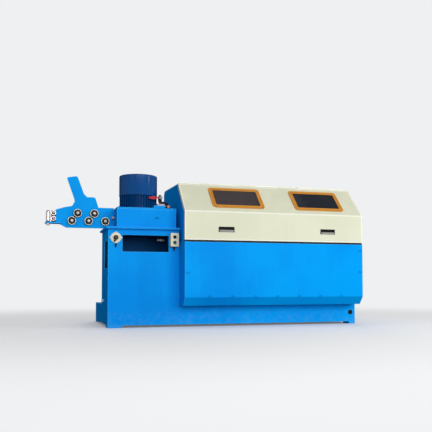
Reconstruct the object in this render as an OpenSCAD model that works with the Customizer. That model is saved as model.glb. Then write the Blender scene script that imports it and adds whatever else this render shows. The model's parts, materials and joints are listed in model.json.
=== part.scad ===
// Wire drawing machine: a welded base with a small cabinet and table at the left end, a roller
// straightening arm, a feed gearbox with a vertical motor, and a long tank under a hinged cover.
// X runs along the machine, Y from the front to the back and Z up, all in millimetres. The origin
// is the middle of the four threaded foot holes, on the floor.

/* [Base and cabinet] */
// Length of the base
base_l = 2270; // [2200:10:2800]
// Depth of the base from the front panel to the back
base_d = 1020; // [940:10:1300]
// Height of the base top, which the tank stands on
base_h = 185; // [150:5:230]
// Thickness of the foot pads
foot_h = 20; // [15:1:40]
// Length of the two foot pads at the cabinet end
foot_l = 120; // [80:5:200]
// Length of the two foot pads at the far end
foot_end_l = 60; // [50:5:150]
// Depth of every foot pad
foot_d = 120; // [80:5:200]
// Radius of the threaded hole in each foot pad
foot_hole_r = 8.75; // [5:0.25:12]
// Thickness of the cabinet sheets
sheet_t = 6; // [4:0.5:10]
// Depth of the cabinet above the base
cab_d = 480; // [460:10:560]
// Height of the table top
table_z = 843; // [820:1:900]
// Thickness of the table plate
table_t = 18; // [12:1:30]
// How far the table stands out past the cabinet at the front
table_front = 40; // [20:1:60]
// How far the table stands out past the cabinet at the left
table_left = 20; // [0:1:40]
// Left edge of the window in the front panel
front_window_x = 119; // [115:1:140]
// Length of the window in the front panel
front_window_l = 394; // [340:1:400]
// Height of the window in the front panel
front_window_h = 139; // [100:1:180]
// Distance from the table plate down to the front window
front_window_drop = 49; // [20:1:60]
// Front edge of the opening in the left panel
side_window_y = 47; // [30:1:80]
// Length of the opening in the left panel
side_window_l = 233; // [180:1:300]
// Height of the opening in the left panel
side_window_h = 228; // [180:1:300]
// Distance from the table plate down to the side opening
side_window_drop = 98; // [60:1:130]
// Radius of the cable hole in the front panel
cable_hole_r = 22; // [12:1:30]
// Distance of the cable hole from the right end of the base
cable_hole_x = 48; // [36:1:80]
// Height of the cable hole above the floor
cable_hole_z = 106; // [80:1:120]

/* [Tank] */
// Distance from the left face of the cabinet to the tank
tank_x = 605; // [605:5:640]
// Length of the tank and the cover
tank_l = 1636; // [1600:2:2000]
// How far the tank stands out in front of the cabinet
tank_proud = 205; // [160:5:260]
// How far the housing reaches behind the front of the cabinet
tank_back = 720; // [600:10:760]
// Height of the tank rim
tank_z = 717; // [680:1:740]
// Height of the slanted lower edge of the tank
chamfer_h = 70; // [40:1:100]
// Depth of the slanted lower edge of the tank
chamfer_d = 57; // [30:1:90]
// Thickness of the tank plates
tank_t = 6; // [4:0.5:10]
// Width of the flat rim round the tank
rim_w = 34; // [26:1:50]
// Height of the splash lip inside the rim
lip_h = 30; // [18:1:50]

/* [Hood] */
// Gap between the tank rim and the closed cover
split_gap = 16; // [12:1:24]
// Height of the bend in the cover
crease_z = 975; // [940:1:1010]
// Height of the hood roof's front edge, where the cover is hinged
hood_z = 1242; // [1200:2:1350]
// How far the hood roof rises from its front edge to its back
roof_rise = 14; // [8:1:30]
// Distance of the hood roof's front edge behind the front of the cabinet
roof_front = 60; // [20:5:120]
// Radius of the rounded back edge of the hood roof
roof_r = 60; // [40:5:120]
// Thickness of the hood's end walls
end_wall_t = 6; // [4:0.5:10]
// Thickness of the hood and cover sheets
cover_t = 3; // [2:0.5:5]
// Depth of the flanges at the two ends of the cover
cover_flange = 30; // [20:1:45]
// Clearance between the cover and the fixed hood
cover_gap = 6; // [5:0.5:10]
// Outer radius of the hinge knuckles
hinge_r = 5; // [4.5:0.5:8]
// Radius of the hinge pin
hinge_pin_r = 2.5; // [1.5:0.25:3]
// Distance of the lifting lug's middle from the left end of the cover
lug_x = 1128; // [700:2:1300]

/* [Windows and handles] */
// Length of each window opening in the cover
glass_l = 400; // [300:5:480]
// Height of each window opening, along the slope
glass_h = 204; // [140:2:220]
// Visible width of the rubber gaskets
gasket_w = 34; // [16:1:40]
// Thickness of the gaskets in front of the sheet
gasket_t = 8; // [4:0.5:14]
// Distance of the left window opening from the left end of the cover
glass_x1 = 288; // [100:1:330]
// Distance of the right window opening from the left end of the cover
glass_x2 = 1040; // [800:1:1060]
// Distance of the window openings above the bend, along the slope
glass_up = 85; // [60:1:100]
// Thickness of the window panes
pane_t = 5; // [3:0.5:8]
// Length of each pull handle
handle_l = 140; // [90:2:180]
// Height of each pull handle
handle_h = 46; // [30:1:60]
// Depth of the hand recess behind the cover
handle_depth = 22; // [12:1:30]
// Distance of the left pull handle's middle from the left end of the cover
handle_x1 = 360; // [120:1:500]
// Distance of the right pull handle's middle from the left end of the cover
handle_x2 = 1294; // [1000:1:1400]
// Height of the handles' middle above the cover's lower edge
handle_up = 91; // [50:1:150]

/* [Gearbox and motor] */
// Left face of the feed gearbox, from the cabinet's left face
gear_x = 71; // [60:1:80]
// Length of the feed gearbox
gear_l = 505; // [480:1:510]
// Depth of the feed gearbox
gear_d = 440; // [420:5:460]
// Height of the feed gearbox above the table
gear_h = 167; // [160:1:220]
// Middle of the motor, from the cabinet's left face
motor_x = 288; // [270:1:296]
// Middle of the motor, from the front of the gearbox
motor_y = 250; // [246:1:260]
// Radius of the motor's fan cowl
cowl_r = 167; // [140:1:168]
// Height of the motor's fan cowl
cowl_h = 180; // [120:1:240]
// Height of the finned motor body under the cowl
motor_h = 96; // [80:1:200]
// Radius of the motor's mounting flange
flange_r = 150; // [140:1:151]
// Thickness of the motor's mounting flange
flange_t = 28; // [12:1:30]
// Number of cooling fins round the motor
fin_n = 40; // [24:2:60]

/* [Straightening arm] */
// Height of the wire line above the table
wire_up = 90; // [84:1:107]
// Distance of the wire line behind the front of the gearbox
wire_y = 183; // [160:1:200]
// Thickness of the arm plate
arm_t = 16; // [10:1:25]
// How far the arm plate reaches left of the cabinet
arm_reach = 417; // [400:1:440]
// Height of the arm plate above the table
arm_h = 178; // [170:1:190]
// Height of the hooked guide arm's tip above the table
hook_h = 442; // [380:1:460]
// Distance of the hooked arm's root left of the cabinet
hook_x = 266; // [255:1:280]
// Width of the hooked arm at its root
hook_w = 81; // [70:1:84]
// How far the hooked arm leans to the left
hook_lean = 60; // [40:1:80]
// Outer radius of the straightening rollers
roller_r = 35; // [30:0.5:37]
// Width of the straightening rollers
roller_w = 22; // [16:1:26]
// Pitch of the lower straightening rollers
roller_pitch = 140; // [132:1:146]
// Distance of the last lower roller's middle left of the cabinet
roller_x = 6; // [0:1:14]
// Sideways offset from a lower to its upper straightening roller
roller_dx = 48; // [44:1:60]
// Height from the middles of the lower to those of the upper rollers
roller_dz = 65; // [64:1:72]
// Travel of the two upper rollers in their slots
slot_travel = 12; // [6:1:16]
// Radius of the roller pins
pin_r = 10; // [6:0.5:12]

/* [Wire guide] */
// Distance of the upright guide rollers past the tip of the arm
upright_out = 64; // [60:1:84]
// Radius of the upright guide rollers
upright_r = 18; // [12:1:20]
// Height of the upright guide rollers
upright_h = 84; // [60:1:90]
// Distance of the flat guide rollers past the tip of the arm
flat_out = 19; // [18:1:21]
// Radius of the flat guide rollers
flat_r = 20; // [14:0.5:20.5]
// Gap between a pair of guide rollers
guide_gap = 7; // [6:0.5:12]

/* [Controls] */
// Middle of the rotary switch, from the cabinet's left face
switch_x = 63; // [58:1:70]
// Radius of the rotary switch's plate
switch_r = 47; // [35:1:50]
// Left edge of the push-button box, from the cabinet's left face
box_x = 519; // [517:1:524]
// Width of the push-button box
box_w = 71; // [60:1:80]
// Height of the push-button box
box_h = 115; // [90:1:130]
// Depth of the push-button box
box_d = 52; // [35:1:70]
// Radius of the push buttons
button_r = 13; // [9:0.5:16]

/* [Lubricant valve] */
// Middle of the ball valve, from the cabinet's left face
valve_x = 457; // [450:1:466]
// Distance of the ball valve behind the front of the gearbox
valve_y = 116; // [112:1:124]
// Height of the ball valve's middle above the gearbox
valve_up = 100; // [98:1:130]
// Length of the valve lever
lever_l = 106; // [80:1:124]
// Slant of the resting lever below level
lever_slant = 2; // [0:1:20]

/* [Drawing blocks] */
// Number of drawing blocks behind the cover
block_n = 5; // [3:1:5]
// Radius of the drawing blocks
block_r = 100; // [70:1:110]
// Width of the drawing blocks
block_w = 90; // [60:1:110]
// Thickness of the wall that carries the drawing blocks
block_wall_t = 16; // [10:1:30]

/* [Hidden] */
$fn = 64;

paint_blue = [0.02, 0.50, 0.88];
paint_cream = [0.88, 0.88, 0.80];
motor_blue = [0.03, 0.25, 0.50];
steel_grey = [0.68, 0.70, 0.72];
dark_steel = [0.25, 0.27, 0.30];
gasket_orange = [0.92, 0.62, 0.22];
black_plastic = [0.10, 0.10, 0.12];
alu_grey = [0.72, 0.72, 0.76];
brass_tone = [0.78, 0.66, 0.42];
lever_red = [0.72, 0.08, 0.16];

// A slack that keeps seated round pieces from sharing a surface
seat_gap = 0.3;
// Radial clearance of a running fit
run_gap = 0.05;
// Slack that lets a cut pass right through a face
over = 1;

// Derived heights and places
table_bottom = table_z - table_t;
gear_z = table_z + gear_h;
wire_z = table_z + wire_up;
motor_z = gear_z + flange_t;
cowl_z = motor_z + motor_h;
tank_right = tank_x + tank_l;
cover_z = tank_z + split_gap;
wall_in = cover_t + cover_gap;
front_window_z = table_bottom - front_window_drop - front_window_h;
side_window_z = table_bottom - side_window_drop - side_window_h;
arm_y = wire_y + roller_w / 2 + 6;
slope_a = atan2(hood_z - crease_z, roof_front + tank_proud);
slope_l = norm([hood_z - crease_z, roof_front + tank_proud]);

// Middles of the foot holes
foot_xs = [foot_l / 2, base_l - foot_end_l / 2];
foot_ys = [foot_d / 2, base_d - foot_d / 2];

// Moves a piece from the corner of the cabinet to the part's own origin
module placed() {
    translate([-(foot_xs[0] + foot_xs[1]) / 2, -base_d / 2, 0]) children();
}

// Points of a round corner about (x, y), from angle a to angle b in n steps
function arc(x, y, r, a, b, n = 5) =
    [for (i = [0:n]) let (t = a + (b - a) * i / n) [x + r * cos(t), y + r * sin(t)]];

// A rectangle with round corners, standing on its lower left corner
module round_rect(w, h, r) {
    translate([r, 0]) square([w - 2 * r, h]);
    translate([0, r]) square([w, h - 2 * r]);
    for (x = [r, w - r], y = [r, h - r]) translate([x, y]) circle(r);
}

// A flat shape in the X-Z plane, its front at y and given a depth to the back
module upright_xz(y, depth) {
    translate([0, y + depth, 0]) rotate([90, 0, 0]) linear_extrude(depth) children();
}

// A flat shape in the Y-Z plane, from x to the right
module upright_yz(x, width) {
    translate([x, 0, 0]) rotate([90, 0, 90]) linear_extrude(width) children();
}

// A round bar along Y, its front end at y
module bar_y(x, y, z, r, depth) {
    translate([x, y + depth, z]) rotate([90, 0, 0]) cylinder(r = r, h = depth);
}

// A round bar along X, its left end at x
module bar_x(x, y, z, r, length) {
    translate([x, y, z]) rotate([0, 90, 0]) cylinder(r = r, h = length);
}

// Base and cabinet

foot_hole_depth = 30;

module foot_pads() {
    color(paint_blue) placed() for (i = [0, 1], y = foot_ys)
        let (l = i == 0 ? foot_l : foot_end_l)
            difference() {
                translate([foot_xs[i] - l / 2, y - foot_d / 2, 0]) cube([l, foot_d, foot_h]);
                translate([foot_xs[i], y, -over]) cylinder(r = foot_hole_r, h = foot_h + 2 * over);
            }
}

// The closed lower base behind the front and left panels
module plinth() {
    color(paint_blue) placed() difference() {
        translate([sheet_t, sheet_t, foot_h])
            cube([base_l - sheet_t, base_d - sheet_t, base_h - foot_h]);
        bar_y(base_l - cable_hole_x, 0, cable_hole_z, cable_hole_r + 4, sheet_t + 60);
        for (i = [0, 1], y = foot_ys)
            translate([foot_xs[i], y, foot_h - over]) cylinder(r = foot_hole_r, h = foot_hole_depth + over);
    }
}

// One sheet from end to end, which rises behind the tank's left end as the cabinet front
module front_panel() {
    color(paint_blue) placed() difference() {
        upright_xz(0, sheet_t) polygon([[0, foot_h], [base_l, foot_h], [base_l, base_h],
                                        [tank_x, base_h], [tank_x, table_bottom], [0, table_bottom]]);
        translate([front_window_x, -over, front_window_z])
            cube([front_window_l, sheet_t + 2 * over, front_window_h]);
        bar_y(base_l - cable_hole_x, -over, cable_hole_z, cable_hole_r, sheet_t + 2 * over);
    }
}

boss_y = 243;
boss_r = 12;
boss_l = 12;

// The end sheet, stepped down behind the cabinet, with a small earthing boss above the base
module left_panel() {
    color(paint_blue) placed() {
        difference() {
            upright_yz(0, sheet_t) polygon([[sheet_t, foot_h], [base_d, foot_h], [base_d, base_h],
                                            [cab_d, base_h], [cab_d, table_bottom], [sheet_t, table_bottom]]);
            translate([-over, side_window_y, side_window_z])
                cube([sheet_t + 2 * over, side_window_l, side_window_h]);
        }
        bar_x(-boss_l, boss_y, base_h + 38, boss_r, boss_l + over);
    }
}

module cabinet_back() {
    color(paint_blue) placed()
        translate([sheet_t, cab_d - sheet_t, base_h])
            cube([tank_x - sheet_t, sheet_t, table_bottom - base_h]);
}

coupling_x = 485;
coupling_r = 37;
coupling_t = 16;
coupling_drop = 83;
shaft_r = 14;

module table() {
    color(paint_blue) placed() difference() {
        translate([-table_left, -table_front, table_bottom])
            cube([tank_x + table_left, cab_d + table_front + 8, table_t]);
        translate([coupling_x, gear_d / 2, table_bottom - over])
            cylinder(r = shaft_r + 6, h = table_t + 2 * over);
    }
}

// The gearbox's lower output, seen through the front window
module drive_coupling() {
    color(steel_grey) placed() translate([coupling_x, gear_d / 2, 0]) {
        translate([0, 0, table_bottom - coupling_drop]) cylinder(r = coupling_r, h = coupling_t);
        translate([0, 0, table_bottom - coupling_drop + coupling_t]) cylinder(r = shaft_r + 5, h = 20);
        translate([0, 0, table_bottom - coupling_drop + coupling_t + 20])
            cylinder(r = shaft_r, h = coupling_drop - coupling_t - 20 + table_t);
    }
}

// Gearbox and motor

pad_x = 384;
pad_l = 95;
pad_h = 22;
wire_bore_r = 6;
passage_r = 10;
guide_r = 13;
guide_l = 22;
lid_t = 12;
lid_line = 2;

// A closed housing with a bored wire passage and a low pad on its front edge
module gearbox() {
    color(paint_blue) placed() difference() {
        union() {
            translate([gear_x, 0, table_z]) cube([gear_l, gear_d, gear_h]);
            translate([pad_x, 0, gear_z]) cube([pad_l, 52, pad_h]);
        }
        bar_x(gear_x - over, wire_y, wire_z, passage_r, gear_l + 2 * over);
        // The joint line under the lid
        translate([gear_x - over, -over, gear_z - lid_t - lid_line]) difference() {
            cube([gear_l + 2 * over, gear_d + 2 * over, lid_line]);
            translate([over + lid_line, over + lid_line, -over])
                cube([gear_l - 2 * lid_line, gear_d - 2 * lid_line, lid_line + 2 * over]);
        }
    }
}

fin_depth = 16;
body_r = cowl_r - 4;

// Outline of the finned body: each fin is a narrow tooth on a round core
function fin_outline(n, core, tip, share) =
    [for (i = [0:n - 1], c = [[core, 0], [tip, 0.12], [tip, share - 0.12], [core, share]])
        let (a = 360 / n * (i + c[1])) [c[0] * cos(a), c[0] * sin(a)]];

module motor_body() {
    color(motor_blue) placed() translate([motor_x, motor_y, 0]) {
        translate([0, 0, gear_z]) cylinder(r = flange_r, h = flange_t);
        translate([0, 0, motor_z])
            linear_extrude(motor_h) polygon(fin_outline(fin_n, body_r - fin_depth, body_r, 0.5));
    }
}

cowl_edge_r = 10;

// The fan cowl, round at its upper edge, with the ring grooves of the air grille in its top
module motor_cowl() {
    color(motor_blue) placed() translate([motor_x, motor_y, cowl_z]) rotate_extrude($fn = 96)
        difference() {
            union() {
                square([cowl_r, cowl_h - cowl_edge_r]);
                square([cowl_r - cowl_edge_r, cowl_h]);
                translate([cowl_r - cowl_edge_r, cowl_h - cowl_edge_r]) circle(cowl_edge_r);
            }
            translate([-cowl_r, 0]) square([cowl_r, cowl_h + over]);
            for (r = [40:16:120]) translate([r, cowl_h - 5]) square([7, 5 + over]);
        }
}

terminal_w = 120;
terminal_h = min(90, motor_h - 16);

// The terminal box behind the motor, hollowed to sit against the fins
module terminal_box() {
    color(motor_blue) placed() difference() {
        translate([motor_x - terminal_w / 2, motor_y + body_r - 20, motor_z + 8])
            cube([terminal_w, 90, terminal_h]);
        translate([motor_x, motor_y, motor_z]) cylinder(r = body_r + seat_gap, h = motor_h);
    }
}

// Lubricant valve on the gearbox

block_l = 64;
block_d = 56;
block_h = 48;
pipe_r = 11;
valve_r = 21;
stem_r = 6;
lever_y = valve_y - 38;
lever_w = 26;
lever_t = 8;
valve_z = gear_z + valve_up;

module valve_block() {
    color(alu_grey) placed()
        translate([valve_x - 29, valve_y - block_d + 20, gear_z]) cube([block_l, block_d, block_h]);
}

// A vertical pipe, the ball body across it and the stem that turns the ball
module ball_valve() {
    color(brass_tone) placed() {
        translate([valve_x, valve_y, gear_z + block_h]) cylinder(r = pipe_r, h = valve_up - block_h + 22);
        translate([valve_x, valve_y, valve_z - 17]) cylinder(r = valve_r - 4, h = 34);
        bar_y(valve_x, valve_y - valve_r - 3, valve_z, valve_r - 6, valve_r + 3);
        bar_y(valve_x, lever_y - 8, valve_z, stem_r, valve_y - lever_y + 8);
    }
}

lever_neck = 10;
grip_l = 72;
grip_w = 32;
grip_end_r = 7;

// The lever: a hub on the stem, a narrow neck and a dipped grip that is widest in its middle
module valve_lever() {
    end = grip_end_r - lever_l;
    color(lever_red) placed()
        translate([valve_x, lever_y + lever_t / 2, valve_z]) rotate([90, -lever_slant, 0])
            linear_extrude(lever_t) difference() {
                union() {
                    circle(lever_w / 2);
                    translate([grip_l + end, -lever_neck / 2]) square([-grip_l - end, lever_neck]);
                    polygon([[grip_l + end, -lever_neck / 2], [grip_l + end, lever_neck / 2],
                             [grip_l / 2 + end, grip_w / 2], [end, grip_end_r],
                             [end, -grip_end_r], [grip_l / 2 + end, -grip_w / 2]]);
                    translate([end, 0]) circle(grip_end_r);
                }
                circle(stem_r + run_gap);
            }
}

elbow_x = 525;
elbow_y = valve_y;
elbow_r = 20;
hose_r = 12;
bend_r = 30;
collar_l = 24;
cap_l = 42;
cap_r = 13;

// A bent pipe from the valve's foot over the block's end down to the gearbox, and a cap at the front
module hose_elbow() {
    bend_z = gear_z + block_h + hose_r;
    bend_x = elbow_x - bend_r;
    color(black_plastic) placed() {
        translate([elbow_x, elbow_y, gear_z]) cylinder(r = elbow_r, h = block_h / 2);
        translate([elbow_x, elbow_y, gear_z + block_h / 2])
            cylinder(r = hose_r, h = bend_z - bend_r - gear_z - block_h / 2);
        translate([bend_x, elbow_y, bend_z - bend_r]) rotate([90, 0, 0])
            rotate_extrude(angle = 90) translate([bend_r, 0]) circle(hose_r);
        bar_x(valve_x + pipe_r + seat_gap, elbow_y, bend_z, hose_r, bend_x - valve_x - pipe_r - seat_gap);
        bar_y(elbow_x, elbow_y - collar_l, gear_z + elbow_r + 5, elbow_r - 2, collar_l);
        bar_y(elbow_x, elbow_y - cap_l, gear_z + elbow_r + 5, cap_r, cap_l);
    }
}

// Left ends and lengths of the bushes where the wire enters the gearbox, crosses to the housing
// and leaves it
bushes = [[gear_x - guide_l, guide_l], [gear_x + gear_l, tank_x + wall_in - gear_x - gear_l],
          [tank_right - wall_in, 36]];

module wire_guides() {
    color(steel_grey) placed() for (b = bushes) difference() {
        bar_x(b[0], wire_y, wire_z, guide_r, b[1]);
        bar_x(b[0] - over, wire_y, wire_z, wire_bore_r, b[1] + 2 * over);
    }
}

// Straightening arm

groove_d = 3.5;
lower_z = wire_z - roller_r + groove_d;
upper_z = lower_z + roller_dz;
lower_xs = [for (i = [2:-1:0]) -roller_x - i * roller_pitch];
upper_xs = [lower_xs[0] + roller_dx, lower_xs[1] + roller_dx];
slot_a = atan2(roller_dz, roller_dx);
slot_w = 2 * pin_r + 2;
slot_back = norm([roller_dx, roller_dz]) - 2 * pin_r - 5;
neck_d = 0.3 * arm_t;
undercut_d = 0.4 * arm_t;
undercut_w = slot_w + 12;
roller_y = wire_y - roller_w / 2;
head_t = 7;
arm_top = table_z + arm_h;
tip_rise = 45;
tip_drop = 26;
nose_l = 43;
shoulder_x = 62;
shoulder_top = arm_top + 88;
shoulder_r = 22;
hook_top = table_z + hook_h;
hook_fillet = 26;
hook_waist = 47;
tip_r = 11;

// Outline of the arm plate in the X-Z plane, from its tip to the gearbox, with the hooked guide arm
// that rises from it
arm_outline = concat(
    [[-arm_reach, table_z + tip_rise], [-arm_reach + nose_l, table_z + tip_rise / 2],
     [-arm_reach + 2 * nose_l, table_z], [gear_x, table_z], [gear_x, arm_top], [-shoulder_x, arm_top]],
    arc(-shoulder_x - 2 * shoulder_r, shoulder_top - shoulder_r, shoulder_r, 20, 90),
    [[-hook_x + hook_w + hook_fillet, shoulder_top], [-hook_x + hook_w, shoulder_top + hook_fillet]],
    arc(-hook_x - hook_lean + hook_w - shoulder_r + 11, hook_top - shoulder_r, shoulder_r, 20, 90),
    arc(-hook_x - hook_lean + tip_r, hook_top - 2 * tip_r, tip_r, 100, 190),
    [[-hook_x, shoulder_top - 17], [-hook_x + 4, arm_top + hook_waist], [-hook_x - 19, arm_top + 8],
     [-hook_x - hook_w, arm_top - 4], [-arm_reach, arm_top - tip_drop]]);

// The T-slot an upper roller is clamped in, from near its lower roller to past its place: a neck in
// the plate's front and the wider space behind it, closed at the back
module arm_slot(x) {
    upright_xz(arm_y - over, neck_d + 2 * over) translate([x, upper_z]) rotate(slot_a) {
        translate([-slot_back, -slot_w / 2]) square([slot_back + slot_travel, slot_w]);
        translate([-slot_back, 0]) circle(slot_w / 2);
        translate([slot_travel, 0]) circle(slot_w / 2);
    }
    upright_xz(arm_y + neck_d, undercut_d) translate([x, upper_z]) rotate(slot_a)
        translate([-slot_back, -undercut_w / 2])
            square([slot_back + slot_travel + slot_w / 2 + 3, undercut_w]);
}

arm_foot_d = 70;
arm_foot_t = 14;
arm_foot_end = 4;
web_d = 46;
web_t = 12;
web_end = 60;
web_drop = 21;

module arm_plate() {
    color(paint_blue) placed() {
        difference() {
            upright_xz(arm_y, arm_t) difference() {
                polygon(arm_outline);
                for (x = lower_xs) translate([x, lower_z]) circle(pin_r + seat_gap);
            }
            for (x = upper_xs) arm_slot(x);
        }
        // The foot flange behind the plate, which is bolted down on the table
        translate([-table_left + arm_foot_end, arm_y + arm_t, table_z])
            cube([gear_x + table_left - 3 * arm_foot_end, arm_foot_d, arm_foot_t]);
        // The web that stiffens the plate along its length
        translate([-arm_reach + web_end, arm_y + arm_t, arm_top - web_drop])
            cube([arm_reach + gear_x - web_end, web_d, web_t]);
    }
}

side_gap = 1;
bore_r = pin_r - 1;

// A pin with a head in front of its roller and a shoulder that ends at y behind it
module roller_pin(x, z, y) {
    bar_y(x, roller_y - side_gap - head_t, z, pin_r + 3, head_t);
    bar_y(x, roller_y - side_gap, z, bore_r, roller_w + 2 * side_gap);
    bar_y(x, roller_y + roller_w + side_gap, z, pin_r + 4, y - roller_y - roller_w - side_gap);
}

module roller_pins() {
    color(steel_grey) placed() for (x = lower_xs) {
        roller_pin(x, lower_z, arm_y);
        bar_y(x, arm_y, lower_z, pin_r, arm_t);
        bar_y(x, arm_y + arm_t, lower_z, pin_r + 5, 10);
    }
}

t_head_l = 2 * pin_r + 1;
t_head_w = undercut_w - 4;

// An upper roller's pin. Its T-head passes the slot's neck lengthwise and holds behind it when turned,
// and its shoulder clamps the plate's front
module slider(x) {
    color(steel_grey) placed() {
        roller_pin(x, upper_z, arm_y - seat_gap);
        bar_y(x, arm_y - seat_gap, upper_z, pin_r, neck_d + 2 * seat_gap + over);
        translate([x, arm_y + neck_d + seat_gap, upper_z]) rotate([0, -slot_a, 0])
            translate([-t_head_l / 2, 0, -t_head_w / 2])
                cube([t_head_l, undercut_d - 2 * seat_gap, t_head_w]);
    }
}

module slider_left() { slider(upper_xs[0]); }
module slider_right() { slider(upper_xs[1]); }

shield_in = pin_r + 4;
shield_out = roller_r - 8;
shield_d = 2.5;

// A grooved roller on a bearing: a wide outer ring, a sunk shield and a bore for its pin
module roller(x, z) {
    color(steel_grey) placed() translate([x, roller_y + roller_w, z]) rotate([90, 0, 0]) rotate_extrude()
        difference() {
            translate([bore_r + run_gap, 0]) square([roller_r - bore_r - run_gap, roller_w]);
            translate([shield_in, roller_w - shield_d]) square([shield_out - shield_in, shield_d + over]);
            translate([shield_in, -over]) square([shield_out - shield_in, shield_d + over]);
            translate([roller_r, roller_w / 2])
                polygon([[-groove_d, 0], [over, groove_d + over], [over, -groove_d - over]]);
        }
}

module roller_lower_left() { roller(lower_xs[0], lower_z); }
module roller_lower_middle() { roller(lower_xs[1], lower_z); }
module roller_lower_right() { roller(lower_xs[2], lower_z); }
module roller_upper_left() { roller(upper_xs[0], upper_z); }
module roller_upper_right() { roller(upper_xs[1], upper_z); }

// Wire guide at the arm's tip

upright_x = arm_reach + upright_out;
flat_x = arm_reach + flat_out;
guide_z = wire_z + 6;
bar_t = 10;
bar_up = 30;
bar_z = table_z + bar_up;
bar_edge = 24;
bar_over = 42;
back_plate_h = 104;
back_plate_over = 36;
upright_lift = 4;
upright_z = bar_z + bar_t + upright_lift + side_gap;
upright_pin_r = 6;
upright_off = upright_r + guide_gap / 2;
flat_off = flat_r + guide_gap / 2;
flat_w = 30;
flat_pin_r = 7;
flat_y = wire_y - flat_w / 2;

// The flat bar across the arm's tip, the plate behind the flat rollers and the four roller pins
module guide_bracket() {
    back_y = arm_y + arm_t;
    bar_d = 2 * upright_off + 2 * bar_edge;
    color(dark_steel) placed() {
        difference() {
            translate([-upright_x - bar_edge, wire_y - bar_d / 2, bar_z])
                cube([upright_out + bar_edge + bar_over, bar_d, bar_t]);
            translate([-arm_reach - seat_gap, arm_y, bar_z - over])
                cube([bar_over + 2 * over, arm_t, bar_t + 2 * over]);
        }
        translate([-flat_x - flat_r + 2, back_y, bar_z + bar_t])
            cube([flat_out + flat_r - 2 + back_plate_over, wire_y + bar_d / 2 - back_y, back_plate_h]);
        for (y = [wire_y - upright_off, wire_y + upright_off]) translate([-upright_x, y, bar_z]) {
            translate([0, 0, -12]) cylinder(r = 11, h = 12);
            translate([0, 0, bar_t]) cylinder(r = upright_pin_r + 4, h = upright_lift);
            translate([0, 0, bar_t]) cylinder(r = upright_pin_r, h = upright_lift + upright_h + 2 * side_gap);
            translate([0, 0, bar_t + upright_lift + upright_h + 2 * side_gap])
                cylinder(r = upright_pin_r + 5, h = 6);
        }
        for (z = [guide_z - flat_off, guide_z + flat_off]) {
            bar_y(-flat_x, flat_y - side_gap, z, flat_pin_r, back_y + side_gap - flat_y);
            bar_y(-flat_x, flat_y - side_gap - 6, z, flat_pin_r + 4, 6);
            bar_y(-flat_x, flat_y + flat_w + side_gap, z, flat_pin_r + 4,
                  back_y - flat_y - flat_w - side_gap);
        }
    }
}

module upright_roller(y) {
    color(steel_grey) placed() translate([-upright_x, y, upright_z]) difference() {
        union() {
            cylinder(r = upright_r - 2, h = upright_h);
            translate([0, 0, 3]) cylinder(r = upright_r, h = upright_h - 6);
        }
        translate([0, 0, -over]) cylinder(r = upright_pin_r + run_gap, h = upright_h + 2 * over);
    }
}

module upright_roller_front() { upright_roller(wire_y - upright_off); }
module upright_roller_back() { upright_roller(wire_y + upright_off); }

module flat_roller(z) {
    color(steel_grey) placed() difference() {
        bar_y(-flat_x, flat_y, z, flat_r, flat_w);
        bar_y(-flat_x, flat_y - over, z, flat_pin_r + run_gap, flat_w + 2 * over);
    }
}

module flat_roller_top() { flat_roller(guide_z + flat_off); }
module flat_roller_bottom() { flat_roller(guide_z - flat_off); }

// Controls

switch_z = table_bottom - 73;
switch_t = 9;
spindle_r = 4;
knob_r = 20;
knob_t = 26;
knob_a = 20;
lug_r = 7;
gland_r = 6;
gland_l = 22;
box_z = table_bottom - 28 - box_h;
button_zs = [box_z + box_h * 0.29, box_z + box_h * 0.70];
button_travel = 4;
button_seat = 14;
button_out = 7;

// The round plate with four fixing lugs and the spindle that carries the knob
module switch_plate() {
    lug_reach = switch_r - lug_r;
    color(paint_cream) placed() {
        bar_y(switch_x, -switch_t, switch_z, switch_r - 3, switch_t);
        for (a = [0:90:270])
            bar_y(switch_x + lug_reach * cos(a), -switch_t + 3, switch_z + lug_reach * sin(a),
                  lug_r, switch_t - 3);
        bar_y(switch_x, -switch_t - knob_t, switch_z, spindle_r, knob_t);
        // The cable gland under the plate
        translate([switch_x, -gland_r, switch_z - switch_r - gland_l]) cylinder(r = gland_r, h = gland_l + 6);
    }
}

// The round knob with its grip, which rests turned to the lower left
module switch_knob() {
    color(black_plastic) placed()
        translate([switch_x, -switch_t - 1, switch_z]) rotate([0, knob_a, 0]) difference() {
            union() {
                rotate([90, 0, 0]) cylinder(r = knob_r, h = 8);
                translate([-6, -knob_t + 2, -36]) cube([12, knob_t - 2, 36 + knob_r - 3]);
            }
            translate([0, over, 0]) rotate([90, 0, 0])
                cylinder(r = spindle_r + run_gap, h = knob_t + 2 * over);
        }
}

module button_box() {
    color(paint_cream) placed() difference() {
        union() {
            upright_xz(-box_d, box_d) translate([box_x, box_z]) round_rect(box_w, box_h, 8);
            // The cable gland under the box
            translate([box_x + box_w / 2, -box_d / 2, box_z - gland_l])
                cylinder(r = gland_r, h = gland_l + over);
        }
        for (z = button_zs)
            bar_y(box_x + box_w / 2, -box_d - over, z, button_r + 0.5, button_seat + over);
    }
}

module button(z) {
    color(black_plastic) placed()
        bar_y(box_x + box_w / 2, -box_d - button_out, z, button_r,
              button_out + button_seat - button_travel - over);
}

module button_upper() { button(button_zs[1]); }
module button_lower() { button(button_zs[0]); }

// Tank and hood

// Outline of the tank in the Y-Z plane, taken in by e on every side
function tank_points(e) =
    let (slant = atan2(chamfer_h, chamfer_d), k = e * tan(slant / 2), m = e * tan((90 - slant) / 2))
        [[-tank_proud + e, tank_z + over], [-tank_proud + e, base_h + chamfer_h + m],
         [-tank_proud + chamfer_d + k, base_h + e], [tank_back - e, base_h + e],
         [tank_back - e, tank_z + over]];

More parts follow.
